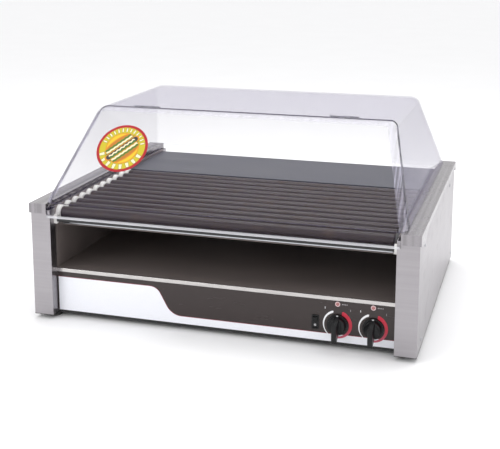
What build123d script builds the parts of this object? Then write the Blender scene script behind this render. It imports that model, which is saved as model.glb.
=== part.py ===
from build123d import *
import math
import os

# Hot dog roller grill with a bun bay below the rollers and a clear canopy above them.
# Millimetres. +Z is up, the front faces -Y, and the feet stand on Z = 0.
# The origin is on the floor, at the middle of the footprint.

# ---- Driving dimensions -------------------------------------------------------------------
width = 890.0                 # over the two side panels
depth = 715.0                 # front posts to rear panel
rail_height = 278.0           # floor to the top of the side rails

foot_height = 10.0
foot_radius = 17.0
foot_inset = 34.0             # foot centre to the outer faces of the body
foot_taper = 8.0              # degrees
pan_rib = 3.0                 # height of the ribs that locate the panels on the base pan
sheet = 1.5                   # sheet steel of the housings, panels and decks
housing_width = 48.0          # each side housing, which is also the front post
post_return = 26.0            # depth of the post's inner return, where the control panel stands
rear_return = 20.0
post_notch = 15.0             # rail top down to the notch that clears the canopy's skirts
cap_wall = 3.0                # folded cap along each side rail
cap_setback = 8.0             # cap's inner flange to the housing's inner face
cap_face_drop = 23.0          # height of the cap's front and rear faces
cap_flange_drop = 14.0        # height of the cap's outer flange
gusset_drop = 35.0            # the outer flange deepens to this near the front
gusset_start = 62.0           # distance from the front to the flange's deepest point
gusset_end = 110.0
ledge_drop = 14.0             # rail top down to the cap's inner ledge

plate_thickness = 2.0         # bearing plates
roller_count = 11
roller_pitch = 38.3
roller_diameter = 28.0
roller_wall = 1.8
roller_drop = 30.0            # rail top down to the roller axes
first_roller_setback = 46.0   # front posts to the first roller's axis
roller_end_gap = 11.0         # roller end to the bearing plate
journal_radius = 7.0
journal_bore_radius = 5.0
roller_end_wall = 6.0
roller_edge = 1.5
bushing_flange_share = 0.47   # bushing flange radius over the roller pitch
bushing_neck_radius = 11.5
bushing_neck_length = 4.0     # beyond the bearing plate
bushing_chamfer = 2.0
bushing_gap = 1.0             # roller end to the bushing
running_fit = 0.05            # radial clearance of every turning fit
snug_fit = 0.02               # radial clearance of fixed fits
gap = 0.3                     # between pieces that slide past each other

chain_pitch = 6.35
chain_plate_reach = 2.6       # half height of a chain plate
chain_plate = 1.2
chain_slot = 3.6              # between the chain's inner plates
chain_pin_radius = 1.6
tooth_width = 3.0
seat_radius = 1.75
tooth_rise = 1.2              # tooth tip beyond the pitch circle
roller_teeth = 14
drive_teeth = 20
chain_offset = 15.0           # housing's inner face to the middle of the chain
hub_radius = 9.5
hub_length = 7.0
drive_shaft_radius = 6.0
drive_shaft_entry = 15.0      # shaft beyond the housing's inner face, in the gearbox
shaft_hole_radius = 9.0
drive_axis_height = 66.0
gearbox_gap = 3.0             # housing's inner face to the gearbox, filled by the bracket
gearbox_width = 42.0
gearbox_half_length = 45.0
gearbox_half_height = 38.0
gearbox_corner = 8.0
shaft_socket = 16.0
rotor_length = 62.0
rotor_radius = 31.0
coil_start = 14.0             # gearbox to the coil stack
coil_length = 28.0
coil_half_length = 36.0
coil_half_height = 34.0
bracket_half_length = 55.0
bracket_rise = 44.0           # above the drive axis
bracket_foot = 43.0
shoe_length = 60.0
shoe_thickness = 11.0
shoe_play = 0.5
drive_axis_setback = 300.0

heater_radius = 4.0
strip_offset = 35.0           # housing's inner face to the terminal strips
strip_thickness = 2.0
strip_half_height = 12.0
strip_tab_half = 6.0
strip_tab_thickness = 3.0
heater_end = 3.0              # heater rod beyond the terminal strip

panel_gap = 6.0               # base pan's underside to the control panel
panel_height = 94.0
trim_height = 9.0
trim_depth = 3.5
panel_flange = 12.0
panel_flange_lift = 8.0
trim_edge = 1.0
knob_x = (270.4, 347.8)
knob_height = 46.3            # above the base pan's underside
knob_radius = 23.0
knob_body_radius = 19.5
knob_flange = 4.0
knob_body = 13.0
knob_gap = 0.8
grip_width = 11.0
grip_reach = 40.0             # panel to the front of the finger grip
grip_rise = 19.5              # knob axis up to the pointer end of the grip
grip_drop = 30.0              # knob axis down to the end of the grip
grip_shelf = 8.0              # knob axis up to the top of the grip's front face
grip_root = 1.0               # how far the grip stops short of the back of its skirt
grip_brow = 6.0               # run and fall of the grip's brow below its pointer end
grip_brow_drop = 6.5
grip_tail = 7.0               # length of the grip's lower end
grip_corner = 4.0
grip_edge = 1.5
knob_taper = 9.0              # degrees
shaft_radius = 3.0
shaft_length = 16.0
control_bushing_radius = 5.0
control_size = 34.0
control_depth = 28.0
control_corner = 3.0
control_socket_end = 1.0      # socket beyond the end of the knob's shaft
lamp_rise = 46.4              # lamp above its knob
lamp_lens_radius = 5.5
lamp_body_radius = 4.0
lamp_dome = 3.5
lamp_body_depth = 12.0
rocker_x = 221.6
rocker_height = 47.3
rocker_half_width = 4.9
rocker_radius = 13.2
rocker_tilt = 7.0             # degrees, pressed side at rest
rocker_pivot_depth = 3.0
trunnion_radius = 1.5
pivot_wall = 0.4
pivot_play = 0.2
rocker_end_gap = 0.5
rocker_face = 7.0             # pivot to the rocker's face
rocker_back = 3.0
rocker_hollow = 2.4           # depth of the hollow across the rocker's face
rocker_hollow_half = 11.0
bezel_width = 15.4
bezel_height = 32.0
bezel_thickness = 2.0
bezel_lip = 1.5               # bezel beyond the hole in the panel
bezel_corner = 2.0
rocker_body_depth = 22.0
rocker_wall = 1.6

shield_drop = 65.0            # rail top down to the heat shield's underside
shield_setback = 64.0
tray_setback = 62.0
tray_height = 15.0
tray_wall = 1.0
tray_side_gap = 13.0
tray_rear_gap = 25.0          # behind the last roller's axis
tray_tab_width = 120.0
tray_tab_reach = 10.0
tray_tab_drop = 3.0           # tray rim down to the tab's underside
tray_tab_thickness = 1.5
tray_corner = 6.0
runner_width = 17.0
runner_overrun = 10.0         # behind the tray
front_rail_setback = 18.0
front_rail_depth = 9.0
front_rail_height = 10.0
front_rail_edge = 1.5
front_rail_drop = 45.0        # rail top down to the front rail's underside
end_block_width = 8.0
end_block_height = 22.0
end_block_edge = 3.0
deck_drop = 18.0              # rail top down to the rear deck
deck_gap = 23.0               # last roller's axis to the deck's front edge
deck_flange = 20.0
deck_step = 12.0
deck_step_run = 24.0

canopy_height = 196.4
canopy_front_run = 174.0
canopy_rear_run = 131.0
canopy_end_run = 57.2
canopy_front_reach = 0.5      # front posts to the front edge of the canopy's foot
canopy_rear_setback = 4.0
canopy_side_inset = 28.4      # ends of the canopy's foot, from the side panels
canopy_sheet = 3.0
canopy_corner = 24.0
door_depth = 26.0             # how far the door wraps back, square to its face
door_seam = 1.0
lip_drop = 29.0               # rail top down to the bead's axis
lip_bead_radius = 3.0
lip_sheet = 2.6
lip_corner = 6.0
lip_side_gap = 1.0            # lip to the rail caps
skirt_side_gap = 2.0
rear_skirt_drop = 14.0
hinge_x = 240.0
hinge_knuckle_radius = 3.2
hinge_pin_radius = 1.5
hinge_knuckle_length = 22.0
hinge_knuckle_gap = 0.5
hinge_web = 7.0
hinge_head_length = 1.5
hinge_head_rim = 1.0
decal_radius = 62.5
decal_x = -259.6
decal_rise = 117.7            # decal centre above the rail top
decal_thickness = 0.4

screw_head_radius = 4.5
screw_head_height = 2.0
screw_shank_radius = 2.0
screw_length = 6.0
upper_screw_drops = (44.0, 38.0)      # rail top down to the front and rear upper screws
upper_screw_setbacks = (80.0, 119.0)  # from the front and from the rear
low_screw_setbacks = (66.0, 25.0)
low_screw_height = 18.0       # above the base pan's underside
louvre_length = 60.0
louvre_spacing = 84.0
louvre_width = 4.0
louvre_pitch = 12.0
louvre_rows = 6
louvre_x = 230.0
louvre_drop = 150.0
gland_x = 330.0
gland_height = 36.0           # above the base pan's underside
gland_flange_radius = 14.0
gland_neck_radius = 10.0
gland_bore_radius = 5.0
gland_reach = 6.0
gland_depth = 14.0            # behind the rear panel's face
gland_chamfer = 2.0

# ---- Places that follow from them ---------------------------------------------------------
half_width = width / 2
front = -depth / 2
rear = depth / 2
inner_wall = half_width - housing_width
plate_outer = inner_wall + plate_thickness
base_top = foot_height + sheet
cap_under = rail_height - cap_wall
cap_inner = inner_wall + cap_setback
cap_outer = half_width + cap_wall
ledge_top = rail_height - ledge_drop
plate_top = ledge_top + 2.0
roller_z = rail_height - roller_drop
roller_radius = roller_diameter / 2
bushing_flange_radius = bushing_flange_share * roller_pitch
roller_ys = [front + first_roller_setback + i * roller_pitch for i in range(roller_count)]
roller_half = inner_wall - roller_end_gap
chain_x = inner_wall + chain_offset
roller_pitch_radius = chain_pitch / (2 * math.sin(math.pi / roller_teeth))
drive_pitch_radius = chain_pitch / (2 * math.sin(math.pi / drive_teeth))
drive_y = front + drive_axis_setback
drive_z = drive_axis_height
panel_front = front + post_return
panel_low = foot_height + panel_gap
panel_top = panel_low + panel_height
bay_floor_top = panel_top + trim_height
shield_low = rail_height - shield_drop
shield_top = shield_low + sheet
runner_top = shield_top + sheet
tray_low = runner_top + gap
tray_top = tray_low + tray_height
tray_half = inner_wall - tray_side_gap
tray_front = front + tray_setback
tray_rear = roller_ys[-1] + tray_rear_gap
deck_front = roller_ys[-1] + deck_gap
deck_top = rail_height - deck_drop
canopy_low = rail_height + gap
canopy_top = canopy_low + canopy_height
canopy_half = half_width - canopy_side_inset
canopy_front = front - canopy_front_reach
canopy_rear = rear - canopy_rear_setback
slope_angle = math.atan2(canopy_height, canopy_front_run)
slope_out = Vector(0, -math.sin(slope_angle), math.cos(slope_angle))
slope_foot = Vector(0, canopy_front, canopy_low)
hinge_y = canopy_front + canopy_front_run + door_depth / math.sin(slope_angle)
hinge_z = canopy_top + hinge_knuckle_radius + gap

SIDES = {"left": -1, "right": 1}


def save(piece, name):
    """Label a finished piece and write it as its own STEP file."""
    piece.label = name
    export_step(piece, f"parts/{name}.step")


def slab(x_low, x_high, y_low, y_high, z_low, z_high, mode=Mode.ADD):
    """Add a block between two corners to the part being built."""
    with BuildSketch(Plane.XY.offset(z_low)) as footprint:
        with Locations(((x_low + x_high) / 2, (y_low + y_high) / 2)):
            Rectangle(abs(x_high - x_low), abs(y_high - y_low))
    extrude(footprint.sketch, amount=z_high - z_low, mode=mode)


def disc_x(x_start, x_end, centres, radius, mode=Mode.ADD):
    """Add a cylinder along X at each (y, z) centre."""
    with BuildSketch(Plane.YZ.offset(x_start)) as discs:
        with Locations(*centres):
            Circle(radius)
    extrude(discs.sketch, amount=x_end - x_start, mode=mode)


def disc_y(y_start, y_end, centres, radius, mode=Mode.ADD):
    """Add a cylinder along Y at each (x, z) centre."""
    with BuildSketch(Plane.XZ.offset(-y_start)) as discs:
        with Locations(*centres):
            Circle(radius)
    extrude(discs.sketch, amount=y_start - y_end, mode=mode)


# ---- Body ---------------------------------------------------------------------------------
def screw_places():
    """The (y, z) places of the screws in one side panel."""
    places = []
    low = foot_height + low_screw_height
    for end, sign, drop, upper, lower in zip((front, rear), (1, -1), upper_screw_drops,
                                             upper_screw_setbacks, low_screw_setbacks):
        places += [(end + sign * upper, rail_height - drop), (end + sign * lower, low)]
    return places


def build_base_pan():
    """Pan under the whole body, cut back to the control panel between the front posts."""
    with BuildPart() as base_pan:
        slab(-half_width, half_width, front, rear, foot_height, base_top)
        slab(-inner_wall, inner_wall, front, panel_front + sheet, foot_height, base_top,
             Mode.SUBTRACT)
        for y_start in (panel_front + sheet, rear - 2 * sheet):
            slab(-inner_wall, inner_wall, y_start, y_start + sheet, base_top, base_top + pan_rib)
    return base_pan.part


def build_feet():
    with BuildPart() as feet:
        with BuildSketch(Plane.XY.offset(foot_height)):
            with GridLocations(width - 2 * foot_inset, depth - 2 * foot_inset, 2, 2):
                Circle(foot_radius)
        extrude(amount=-foot_height, taper=foot_taper)
    return feet.part


def build_side_panel(side):
    """Outer skin of a housing, which turns in at the front post and at the rear."""
    middle = side * (half_width - housing_width / 2)
    with BuildPart() as side_panel:
        with BuildSketch(Plane.XY.offset(base_top)):
            with Locations((middle, 0)):
                Rectangle(housing_width, depth)
                Rectangle(housing_width - 2 * sheet, depth - 2 * sheet, mode=Mode.SUBTRACT)
            inner_length = depth - post_return - rear_return
            with Locations((side * (inner_wall + sheet), (post_return - rear_return) / 2)):
                Rectangle(2 * sheet, inner_length, mode=Mode.SUBTRACT)
        extrude(amount=cap_under - base_top)
        for y_low, y_high in ((front, front + post_return), (rear - rear_return, rear)):
            slab(side * inner_wall, side * cap_inner, y_low, y_high,
                 rail_height - post_notch, cap_under, Mode.SUBTRACT)
        corner = side_panel.edges().filter_by(Axis.Z).group_by(Axis.Y)[0]
        fillet(corner.sort_by(Axis.X)[-1 if side > 0 else 0], sheet * 0.9)
        disc_x(side * (half_width - 2 * sheet), side * (half_width + 1), screw_places(),
               screw_shank_radius + snug_fit, Mode.SUBTRACT)
    return side_panel.part


def build_side_screws():
    with BuildPart() as side_screws:
        for side in SIDES.values():
            disc_x(side * half_width, side * (half_width + screw_head_height), screw_places(),
                   screw_head_radius)
            disc_x(side * (half_width - screw_length), side * half_width, screw_places(),
                   screw_shank_radius)
        outer = side_screws.edges().filter_by(GeomType.CIRCLE)
        rims = [e for e in outer if abs(abs(e.center().X) - half_width - screw_head_height) < 0.01]
        fillet(rims, screw_head_height * 0.6)
    return side_screws.part


def build_rail_cap(side):
    """Folded cap over one side rail, with a deeper gusset at the front of its outer flange."""
    reach = depth / 2 + cap_wall
    with BuildPart() as rail_cap:
        with BuildSketch(Plane.XZ.offset(-reach)):
            with BuildLine():
                Polyline(
                    (side * cap_outer, rail_height),
                    (side * cap_inner, rail_height),
                    (side * cap_inner, ledge_top),
                    (side * plate_outer, ledge_top),
                    (side * plate_outer, ledge_top - cap_wall),
                    (side * (cap_inner + cap_wall), ledge_top - cap_wall),
                    (side * (cap_inner + cap_wall), cap_under),
                    (side * cap_outer, cap_under),
                    close=True,
                )
            make_face()
        extrude(amount=2 * reach)
        # the ledge stops at the returns of the side panel, and the flange at its front and rear
        for y_low, y_high in ((-reach, front + post_return), (rear - rear_return, reach)):
            slab(side * plate_outer, side * cap_inner, y_low, y_high,
                 ledge_top - cap_wall, cap_under, Mode.SUBTRACT)
        for y_low, y_high in ((-reach, front + sheet), (rear - sheet, reach)):
            slab(side * cap_inner, side * (cap_inner + cap_wall), y_low, y_high,
                 ledge_top - cap_wall, cap_under, Mode.SUBTRACT)
        with BuildSketch(Plane.YZ.offset(side * half_width)):
            with BuildLine():
                Polyline(
                    (-reach, cap_under),
                    (reach, cap_under),
                    (reach, rail_height - cap_flange_drop),
                    (front + gusset_end, rail_height - cap_flange_drop),
                    (front + gusset_start, rail_height - gusset_drop),
                    (-reach, rail_height - cap_face_drop),
                    close=True,
                )
            make_face()
        extrude(amount=side * cap_wall)
        for y_low, y_high in ((-reach, front), (rear, reach)):
            slab(side * cap_inner, side * cap_outer, y_low, y_high,
                 rail_height - cap_face_drop, cap_under)
        top_edges = rail_cap.edges().filter_by(Axis.Y).group_by(Axis.Z)[-1]
        fillet(top_edges.sort_by(Axis.X)[-1 if side > 0 else 0], cap_wall * 0.7)
    return rail_cap.part


def build_bearing_plate(side):
    with BuildPart() as bearing_plate:
        slab(side * inner_wall, side * plate_outer, front + post_return, rear - rear_return,
             base_top, plate_top)
        centres = [(y, roller_z) for y in roller_ys]
        disc_x(side * inner_wall, side * plate_outer, centres,
               bushing_neck_radius + snug_fit, Mode.SUBTRACT)
        if side < 0:
            disc_x(side * inner_wall, side * plate_outer, [(drive_y, drive_z)],
                   shaft_hole_radius, Mode.SUBTRACT)
    return bearing_plate.part


def build_rear_panel():
    with BuildPart() as rear_panel:
        slab(-inner_wall, inner_wall, rear - sheet, rear, base_top, deck_top - deck_step - sheet)
        with BuildSketch(Plane.XZ.offset(-rear)):
            for x in (-louvre_x, louvre_x):
                with Locations((x, rail_height - louvre_drop)):
                    with GridLocations(louvre_spacing, louvre_pitch, 3, louvre_rows):
                        SlotOverall(louvre_length, louvre_width)
        extrude(amount=sheet, mode=Mode.SUBTRACT)
        disc_y(rear - sheet, rear, [(gland_x, foot_height + gland_height)],
               gland_neck_radius + snug_fit, Mode.SUBTRACT)
    return rear_panel.part


def build_cord_gland():
    place = [(gland_x, foot_height + gland_height)]
    with BuildPart() as cord_gland:
        disc_y(rear - gland_depth, rear, place, gland_neck_radius)
        disc_y(rear, rear + gland_reach, place, gland_flange_radius)
        rim = cord_gland.edges().filter_by(GeomType.CIRCLE).sort_by(Axis.Y)[-1]
        chamfer(rim, gland_chamfer)
        disc_y(rear - gland_depth, rear + gland_reach, place, gland_bore_radius, Mode.SUBTRACT)
    return cord_gland.part


def build_bay_floor():
    with BuildPart() as bay_floor:
        slab(-inner_wall, inner_wall, panel_front + sheet, rear - sheet,
             bay_floor_top - sheet, bay_floor_top)
    return bay_floor.part


def build_heat_shield():
    with BuildPart() as heat_shield:
        slab(-inner_wall, inner_wall, front + shield_setback, rear - sheet, shield_low, shield_top)
    return heat_shield.part


def build_rear_deck():
    """Flat deck behind the rollers, turned down at its front edge and stepped at the rear."""
    step_start = rear - sheet - deck_step_run
    with BuildPart() as rear_deck:
        with BuildSketch(Plane.YZ.offset(-inner_wall)):
            with BuildLine():
                Polyline(
                    (deck_front, deck_top - deck_flange),
                    (deck_front, deck_top),
                    (step_start, deck_top),
                    (step_start + deck_step, deck_top - deck_step),
                    (rear, deck_top - deck_step),
                    (rear, deck_top - deck_step - sheet),
                    (step_start + deck_step - sheet * 0.6, deck_top - deck_step - sheet),
                    (step_start - sheet * 0.6, deck_top - sheet),
                    (deck_front + sheet, deck_top - sheet),
                    (deck_front + sheet, deck_top - deck_flange),
                    close=True,
                )
            make_face()
        extrude(amount=2 * inner_wall)
    return rear_deck.part


def build_front_rail():
    low = rail_height - front_rail_drop
    near = front + front_rail_setback
    half = inner_wall - end_block_width
    with BuildPart() as front_rail:
        slab(-half, half, near, near + front_rail_depth, low, low + front_rail_height)
        long_edges = front_rail.edges().filter_by(Axis.X)
        fillet(long_edges, front_rail_edge)
    return front_rail.part


def build_rail_end_blocks():
    low = rail_height - front_rail_drop - (end_block_height - front_rail_height) / 2
    near = front + front_rail_setback
    with BuildPart() as end_blocks:
        for side in SIDES.values():
            slab(side * (inner_wall - end_block_width), side * inner_wall,
                 near, near + front_rail_depth, low, low + end_block_height)
        fillet(end_blocks.edges().filter_by(Axis.X), end_block_edge)
    return end_blocks.part


# ---- Rollers, bushings and heaters ---------------------------------------------------------
def build_roller(y):
    """Hollow roller with a journal at each end; the left journal also carries the sprocket."""
    left_end = -(chain_x + tooth_width / 2 + hub_length)
    right_end = plate_outer + bushing_neck_length
    centre = [(y, roller_z)]
    with BuildPart() as roller:
        disc_x(-roller_half, roller_half, centre, roller_radius)
        rims = roller.edges().filter_by(GeomType.CIRCLE)
        fillet(rims, roller_edge)
        disc_x(left_end, right_end, centre, journal_radius)
        disc_x(-roller_half + roller_end_wall, roller_half - roller_end_wall, centre,
               roller_radius - roller_wall, Mode.SUBTRACT)
        disc_x(left_end, right_end, centre, journal_bore_radius, Mode.SUBTRACT)
    return roller.part


def build_bushings():
    """Flanged bushings in both bearing plates."""
    centres = [(y, roller_z) for y in roller_ys]
    with BuildPart() as bushings:
        for side in SIDES.values():
            disc_x(side * (roller_half + bushing_gap), side * inner_wall, centres, bushing_flange_radius)
            disc_x(side * inner_wall, side * (plate_outer + bushing_neck_length), centres,
                   bushing_neck_radius)
        rings = bushings.edges().filter_by(GeomType.CIRCLE)
        rims = [e for e in rings if abs(abs(e.center().X) - roller_half - bushing_gap) < 0.01]
        chamfer(rims, bushing_chamfer)
        disc_x(-cap_outer, cap_outer, centres, journal_radius + running_fit, Mode.SUBTRACT)
    return bushings.part


def build_heater_rods():
    centres = [(y, roller_z) for y in roller_ys]
    reach = inner_wall + strip_offset + strip_thickness + heater_end
    with BuildPart() as heater_rods:
        disc_x(-reach, reach, centres, heater_radius)
    return heater_rods.part


def build_terminal_strips():
    """Strips that hold the heater ends, with tabs that reach the side panels."""
    first = roller_ys[0] - roller_pitch / 2
    last = roller_ys[-1] + roller_pitch / 2
    centres = [(y, roller_z) for y in roller_ys]
    start = inner_wall + strip_offset
    with BuildPart() as strips:
        for side in SIDES.values():
            slab(side * start, side * (start + strip_thickness), first, last,
                 roller_z - strip_half_height, roller_z + strip_half_height)
            for y in (roller_ys[1], roller_ys[roller_count // 2], roller_ys[-2]):
                middle = y + roller_pitch / 2
                low = roller_z - strip_half_height
                slab(side * start, side * (half_width - sheet), middle - strip_tab_half,
                     middle + strip_tab_half, low, low + strip_tab_thickness)
        disc_x(-half_width, half_width, centres, heater_radius + snug_fit, Mode.SUBTRACT)
    return strips.part


# ---- Drive --------------------------------------------------------------------------------
def add_sprocket(y, z, teeth, pitch_radius, bore):
    """Add a toothed wheel in the chain's plane, with its hub on the outer side."""
    near = -(chain_x - tooth_width / 2)
    far = -(chain_x + tooth_width / 2)
    with BuildSketch(Plane.YZ.offset(near)) as wheel:
        with Locations((y, z)):
            Circle(pitch_radius + tooth_rise)
            with PolarLocations(pitch_radius, teeth, start_angle=90 + 180 / teeth):
                Circle(seat_radius, mode=Mode.SUBTRACT)
    extrude(wheel.sketch, amount=far - near)
    disc_x(far, far - hub_length, [(y, z)], hub_radius)
    if bore > 0:
        disc_x(near, far - hub_length, [(y, z)], bore, Mode.SUBTRACT)


def build_roller_sprocket(y):
    with BuildPart() as roller_sprocket:
        add_sprocket(y, roller_z, roller_teeth, roller_pitch_radius, journal_radius + snug_fit)
    return roller_sprocket.part


def build_drive_sprocket():
    with BuildPart() as drive_sprocket:
        add_sprocket(drive_y, drive_z, drive_teeth, drive_pitch_radius, 0)
        disc_x(-(chain_x - tooth_width / 2), -(inner_wall - drive_shaft_entry), [(drive_y, drive_z)],
               drive_shaft_radius)
    return drive_sprocket.part


def chain_outline(x, growth):
    """Face inside a line round the first and last roller sprockets and the drive sprocket."""
    with BuildSketch(Plane.YZ.offset(x)) as outline:
        with BuildLine():
            CenterArc((roller_ys[0], roller_z), roller_pitch_radius + growth, 0, 360)
            CenterArc((roller_ys[-1], roller_z), roller_pitch_radius + growth, 0, 360)
            CenterArc((drive_y, drive_z), drive_pitch_radius + growth, 0, 360)
        make_hull()
    return outline.sketch


def build_drive_chain():
    """Two rows of chain plates joined by pins along the upper run, clear of every tooth."""
    with BuildPart() as drive_chain:
        for start in (-chain_slot / 2, chain_slot / 2 + chain_plate):
            outer = chain_outline(-chain_x + start, chain_plate_reach)
            inner = chain_outline(-chain_x + start, -chain_plate_reach)
            extrude(outer - inner, amount=-chain_plate)
        pins_per_gap = int(roller_pitch / chain_pitch) - 3
        first = (roller_pitch - (pins_per_gap - 1) * chain_pitch) / 2
        upper = roller_z + roller_pitch_radius
        places = []
        for y in roller_ys[:-1]:
            places += [(y + first + k * chain_pitch, upper) for k in range(pins_per_gap)]
        disc_x(-chain_x - chain_slot / 2, -chain_x + chain_slot / 2, places, chain_pin_radius)
    return drive_chain.part


def build_gear_motor():
    """Shaded-pole motor on a flat gearbox, in the base below the bay."""
    near = -(inner_wall - gearbox_gap)
    face = near + gearbox_width
    with BuildPart() as gear_motor:
        slab(near, face, drive_y - gearbox_half_length, drive_y + gearbox_half_length,
             drive_z - gearbox_half_height, drive_z + gearbox_half_height)
        fillet(gear_motor.edges().filter_by(Axis.X), gearbox_corner)
        disc_x(face, face + rotor_length, [(drive_y, drive_z)], rotor_radius)
        slab(face + coil_start, face + coil_start + coil_length, drive_y - coil_half_length,
             drive_y + coil_half_length, drive_z - coil_half_height, drive_z + coil_half_height)
        disc_x(near, near + shaft_socket, [(drive_y, drive_z)], drive_shaft_radius + running_fit,
               Mode.SUBTRACT)
    return gear_motor.part


def build_motor_bracket():
    near = -inner_wall
    face = near + gearbox_gap
    y_low, y_high = drive_y - bracket_half_length, drive_y + bracket_half_length
    with BuildPart() as motor_bracket:
        slab(near, face, y_low, y_high, base_top, drive_z + bracket_rise)
        slab(face, face + bracket_foot, y_low, y_high, base_top, base_top + gearbox_gap)
        disc_x(near, face, [(drive_y, drive_z)], shaft_hole_radius, Mode.SUBTRACT)
    return motor_bracket.part


def build_chain_tensioner():
    """Fixed shoe that bears on the outside of the chain's rear run."""
    run_y = roller_ys[-1] - drive_y
    run_z = roller_z - drive_z
    length = math.hypot(run_y, run_z)
    lean = math.asin((drive_pitch_radius - roller_pitch_radius) / length)
    angle = math.atan2(run_z, run_y) + lean
    middle_y = (roller_ys[-1] + drive_y) / 2
    middle_z = (roller_z + drive_z) / 2
    reach = (roller_pitch_radius + drive_pitch_radius) / 2 + chain_plate_reach
    reach += gap + shoe_play + shoe_thickness / 2
    shoe_y = middle_y + reach * math.sin(angle)
    shoe_z = middle_z - reach * math.cos(angle)
    with BuildPart() as tensioner:
        with BuildSketch(Plane.YZ.offset(-plate_outer)):
            with Locations(Location((shoe_y, shoe_z), math.degrees(angle))):
                SlotOverall(shoe_length, shoe_thickness)
        extrude(amount=-(chain_x + chain_slot - plate_outer))
    return tensioner.part


# ---- Drip tray ----------------------------------------------------------------------------
def build_drip_tray():
    with BuildPart() as drip_tray:
        slab(-tray_half, tray_half, tray_front, tray_rear, tray_low, tray_top)
        fillet(drip_tray.edges().filter_by(Axis.Z), tray_corner)
        top_face = drip_tray.faces().sort_by(Axis.Z)[-1]
        offset(amount=-tray_wall, openings=top_face)
        slab(-tray_tab_width / 2, tray_tab_width / 2, tray_front - tray_tab_reach, tray_front,
             tray_top - tray_tab_drop, tray_top - tray_tab_drop + tray_tab_thickness)
    return drip_tray.part


def build_tray_runners():
    with BuildPart() as tray_runners:
        for side in SIDES.values():
            slab(side * (inner_wall - runner_width), side * inner_wall,
                 front + shield_setback, tray_rear + runner_overrun, shield_top, runner_top)
    return tray_runners.part


# ---- Controls -----------------------------------------------------------------------------
def knob_places():
    return [(x, foot_height + knob_height) for x in knob_x]


def lamp_places():
    return [(x, foot_height + knob_height + lamp_rise) for x in knob_x]


def build_control_panel():
    with BuildPart() as control_panel:
        slab(-inner_wall, inner_wall, panel_front, panel_front + sheet, panel_low, panel_top)
        for side in SIDES.values():
            slab(side * (inner_wall - sheet), side * inner_wall, panel_front + sheet,
                 panel_front + panel_flange, panel_low + panel_flange_lift, panel_top)
        disc_y(panel_front, panel_front + sheet, knob_places(),
               control_bushing_radius + snug_fit, Mode.SUBTRACT)
        disc_y(panel_front, panel_front + sheet, lamp_places(),
               lamp_body_radius + snug_fit, Mode.SUBTRACT)
        half = bezel_width / 2 - bezel_lip
        cut = bezel_height / 2 - bezel_lip
        middle = foot_height + rocker_height
        slab(rocker_x - half, rocker_x + half, panel_front, panel_front + sheet,
             middle - cut, middle + cut, Mode.SUBTRACT)
    return control_panel.part


def build_panel_trim():
    with BuildPart() as panel_trim:
        slab(-inner_wall, inner_wall, panel_front + sheet - trim_depth, panel_front + sheet,
             panel_top, bay_floor_top)
        fillet(panel_trim.edges().filter_by(Axis.X).group_by(Axis.Y)[0], trim_edge)
    return panel_trim.part


def build_heat_knob(place):
    """Pointer knob with a finger grip that overhangs its skirt, and the shaft that it turns."""
    back = panel_front - knob_gap
    body_front = panel_front - knob_body
    grip_front = panel_front - grip_reach
    x, z = place
    with BuildPart() as heat_knob:
        with BuildSketch(Plane.YZ.offset(x - grip_width / 2)) as grip:
            with BuildLine():
                Polyline(
                    (back - grip_root, z + grip_rise),
                    (body_front, z + grip_rise),
                    (body_front - grip_brow, z + grip_rise - grip_brow_drop),
                    (grip_front, z + grip_shelf),
                    (grip_front, z - grip_drop),
                    (grip_front + grip_tail, z - grip_drop),
                    (body_front, z - grip_rise),
                    (back - grip_root, z - grip_rise),
                    close=True,
                )
            make_face()
            fillet(grip.vertices().group_by(Axis.Y)[0], grip_corner)
        extrude(amount=grip_width)
        sides = heat_knob.faces().filter_by(Axis.X).edges()
        fillet([e for e in sides if e.center().Y < body_front - 0.1], grip_edge)
        disc_y(back, back - knob_flange, [place], knob_radius)
        with BuildSketch(Plane.XZ.offset(-(back - knob_flange))):
            with Locations(place):
                Circle(knob_body_radius)
        extrude(amount=knob_body - knob_flange, taper=knob_taper)
        disc_y(back, back + knob_gap + shaft_length, [place], shaft_radius)
    return heat_knob.part


def build_heat_controls():
    with BuildPart() as heat_controls:
        disc_y(panel_front, panel_front + sheet, knob_places(), control_bushing_radius)
        with BuildSketch(Plane.XZ.offset(-(panel_front + sheet))):
            with Locations(*knob_places()):
                RectangleRounded(control_size, control_size, control_corner)
        extrude(amount=-control_depth)
        disc_y(panel_front, panel_front + shaft_length + control_socket_end, knob_places(),
               shaft_radius + running_fit, Mode.SUBTRACT)
    return heat_controls.part


def build_indicator_lamps():
    with BuildPart() as indicator_lamps:
        disc_y(panel_front, panel_front - lamp_dome, lamp_places(), lamp_lens_radius)
        domes = indicator_lamps.faces().group_by(Axis.Y)[0]
        fillet(domes.edges(), lamp_dome * 0.7)
        disc_y(panel_front, panel_front + lamp_body_depth, lamp_places(), lamp_body_radius)
    return indicator_lamps.part


def build_rocker_housing():
    middle = foot_height + rocker_height
    cut = bezel_height / 2 - bezel_lip
    half = bezel_width / 2 - bezel_lip
    window_half = rocker_radius + rocker_end_gap
    window_side = rocker_half_width + gap
    with BuildPart() as rocker_housing:
        slab(rocker_x - bezel_width / 2, rocker_x + bezel_width / 2,
             panel_front - bezel_thickness, panel_front,
             middle - bezel_height / 2, middle + bezel_height / 2)
        fillet(rocker_housing.edges().filter_by(Axis.Y), bezel_corner)
        slab(rocker_x - half, rocker_x + half, panel_front, panel_front + rocker_body_depth,
             middle - cut, middle + cut)
        slab(rocker_x - window_side, rocker_x + window_side, panel_front - bezel_thickness,
             panel_front + rocker_body_depth - rocker_wall, middle - window_half,
             middle + window_half, Mode.SUBTRACT)
        disc_x(rocker_x - half + pivot_wall, rocker_x + half - pivot_wall,
               [(panel_front + rocker_pivot_depth, middle)], trunnion_radius + running_fit,
               Mode.SUBTRACT)
    return rocker_housing.part


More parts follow.
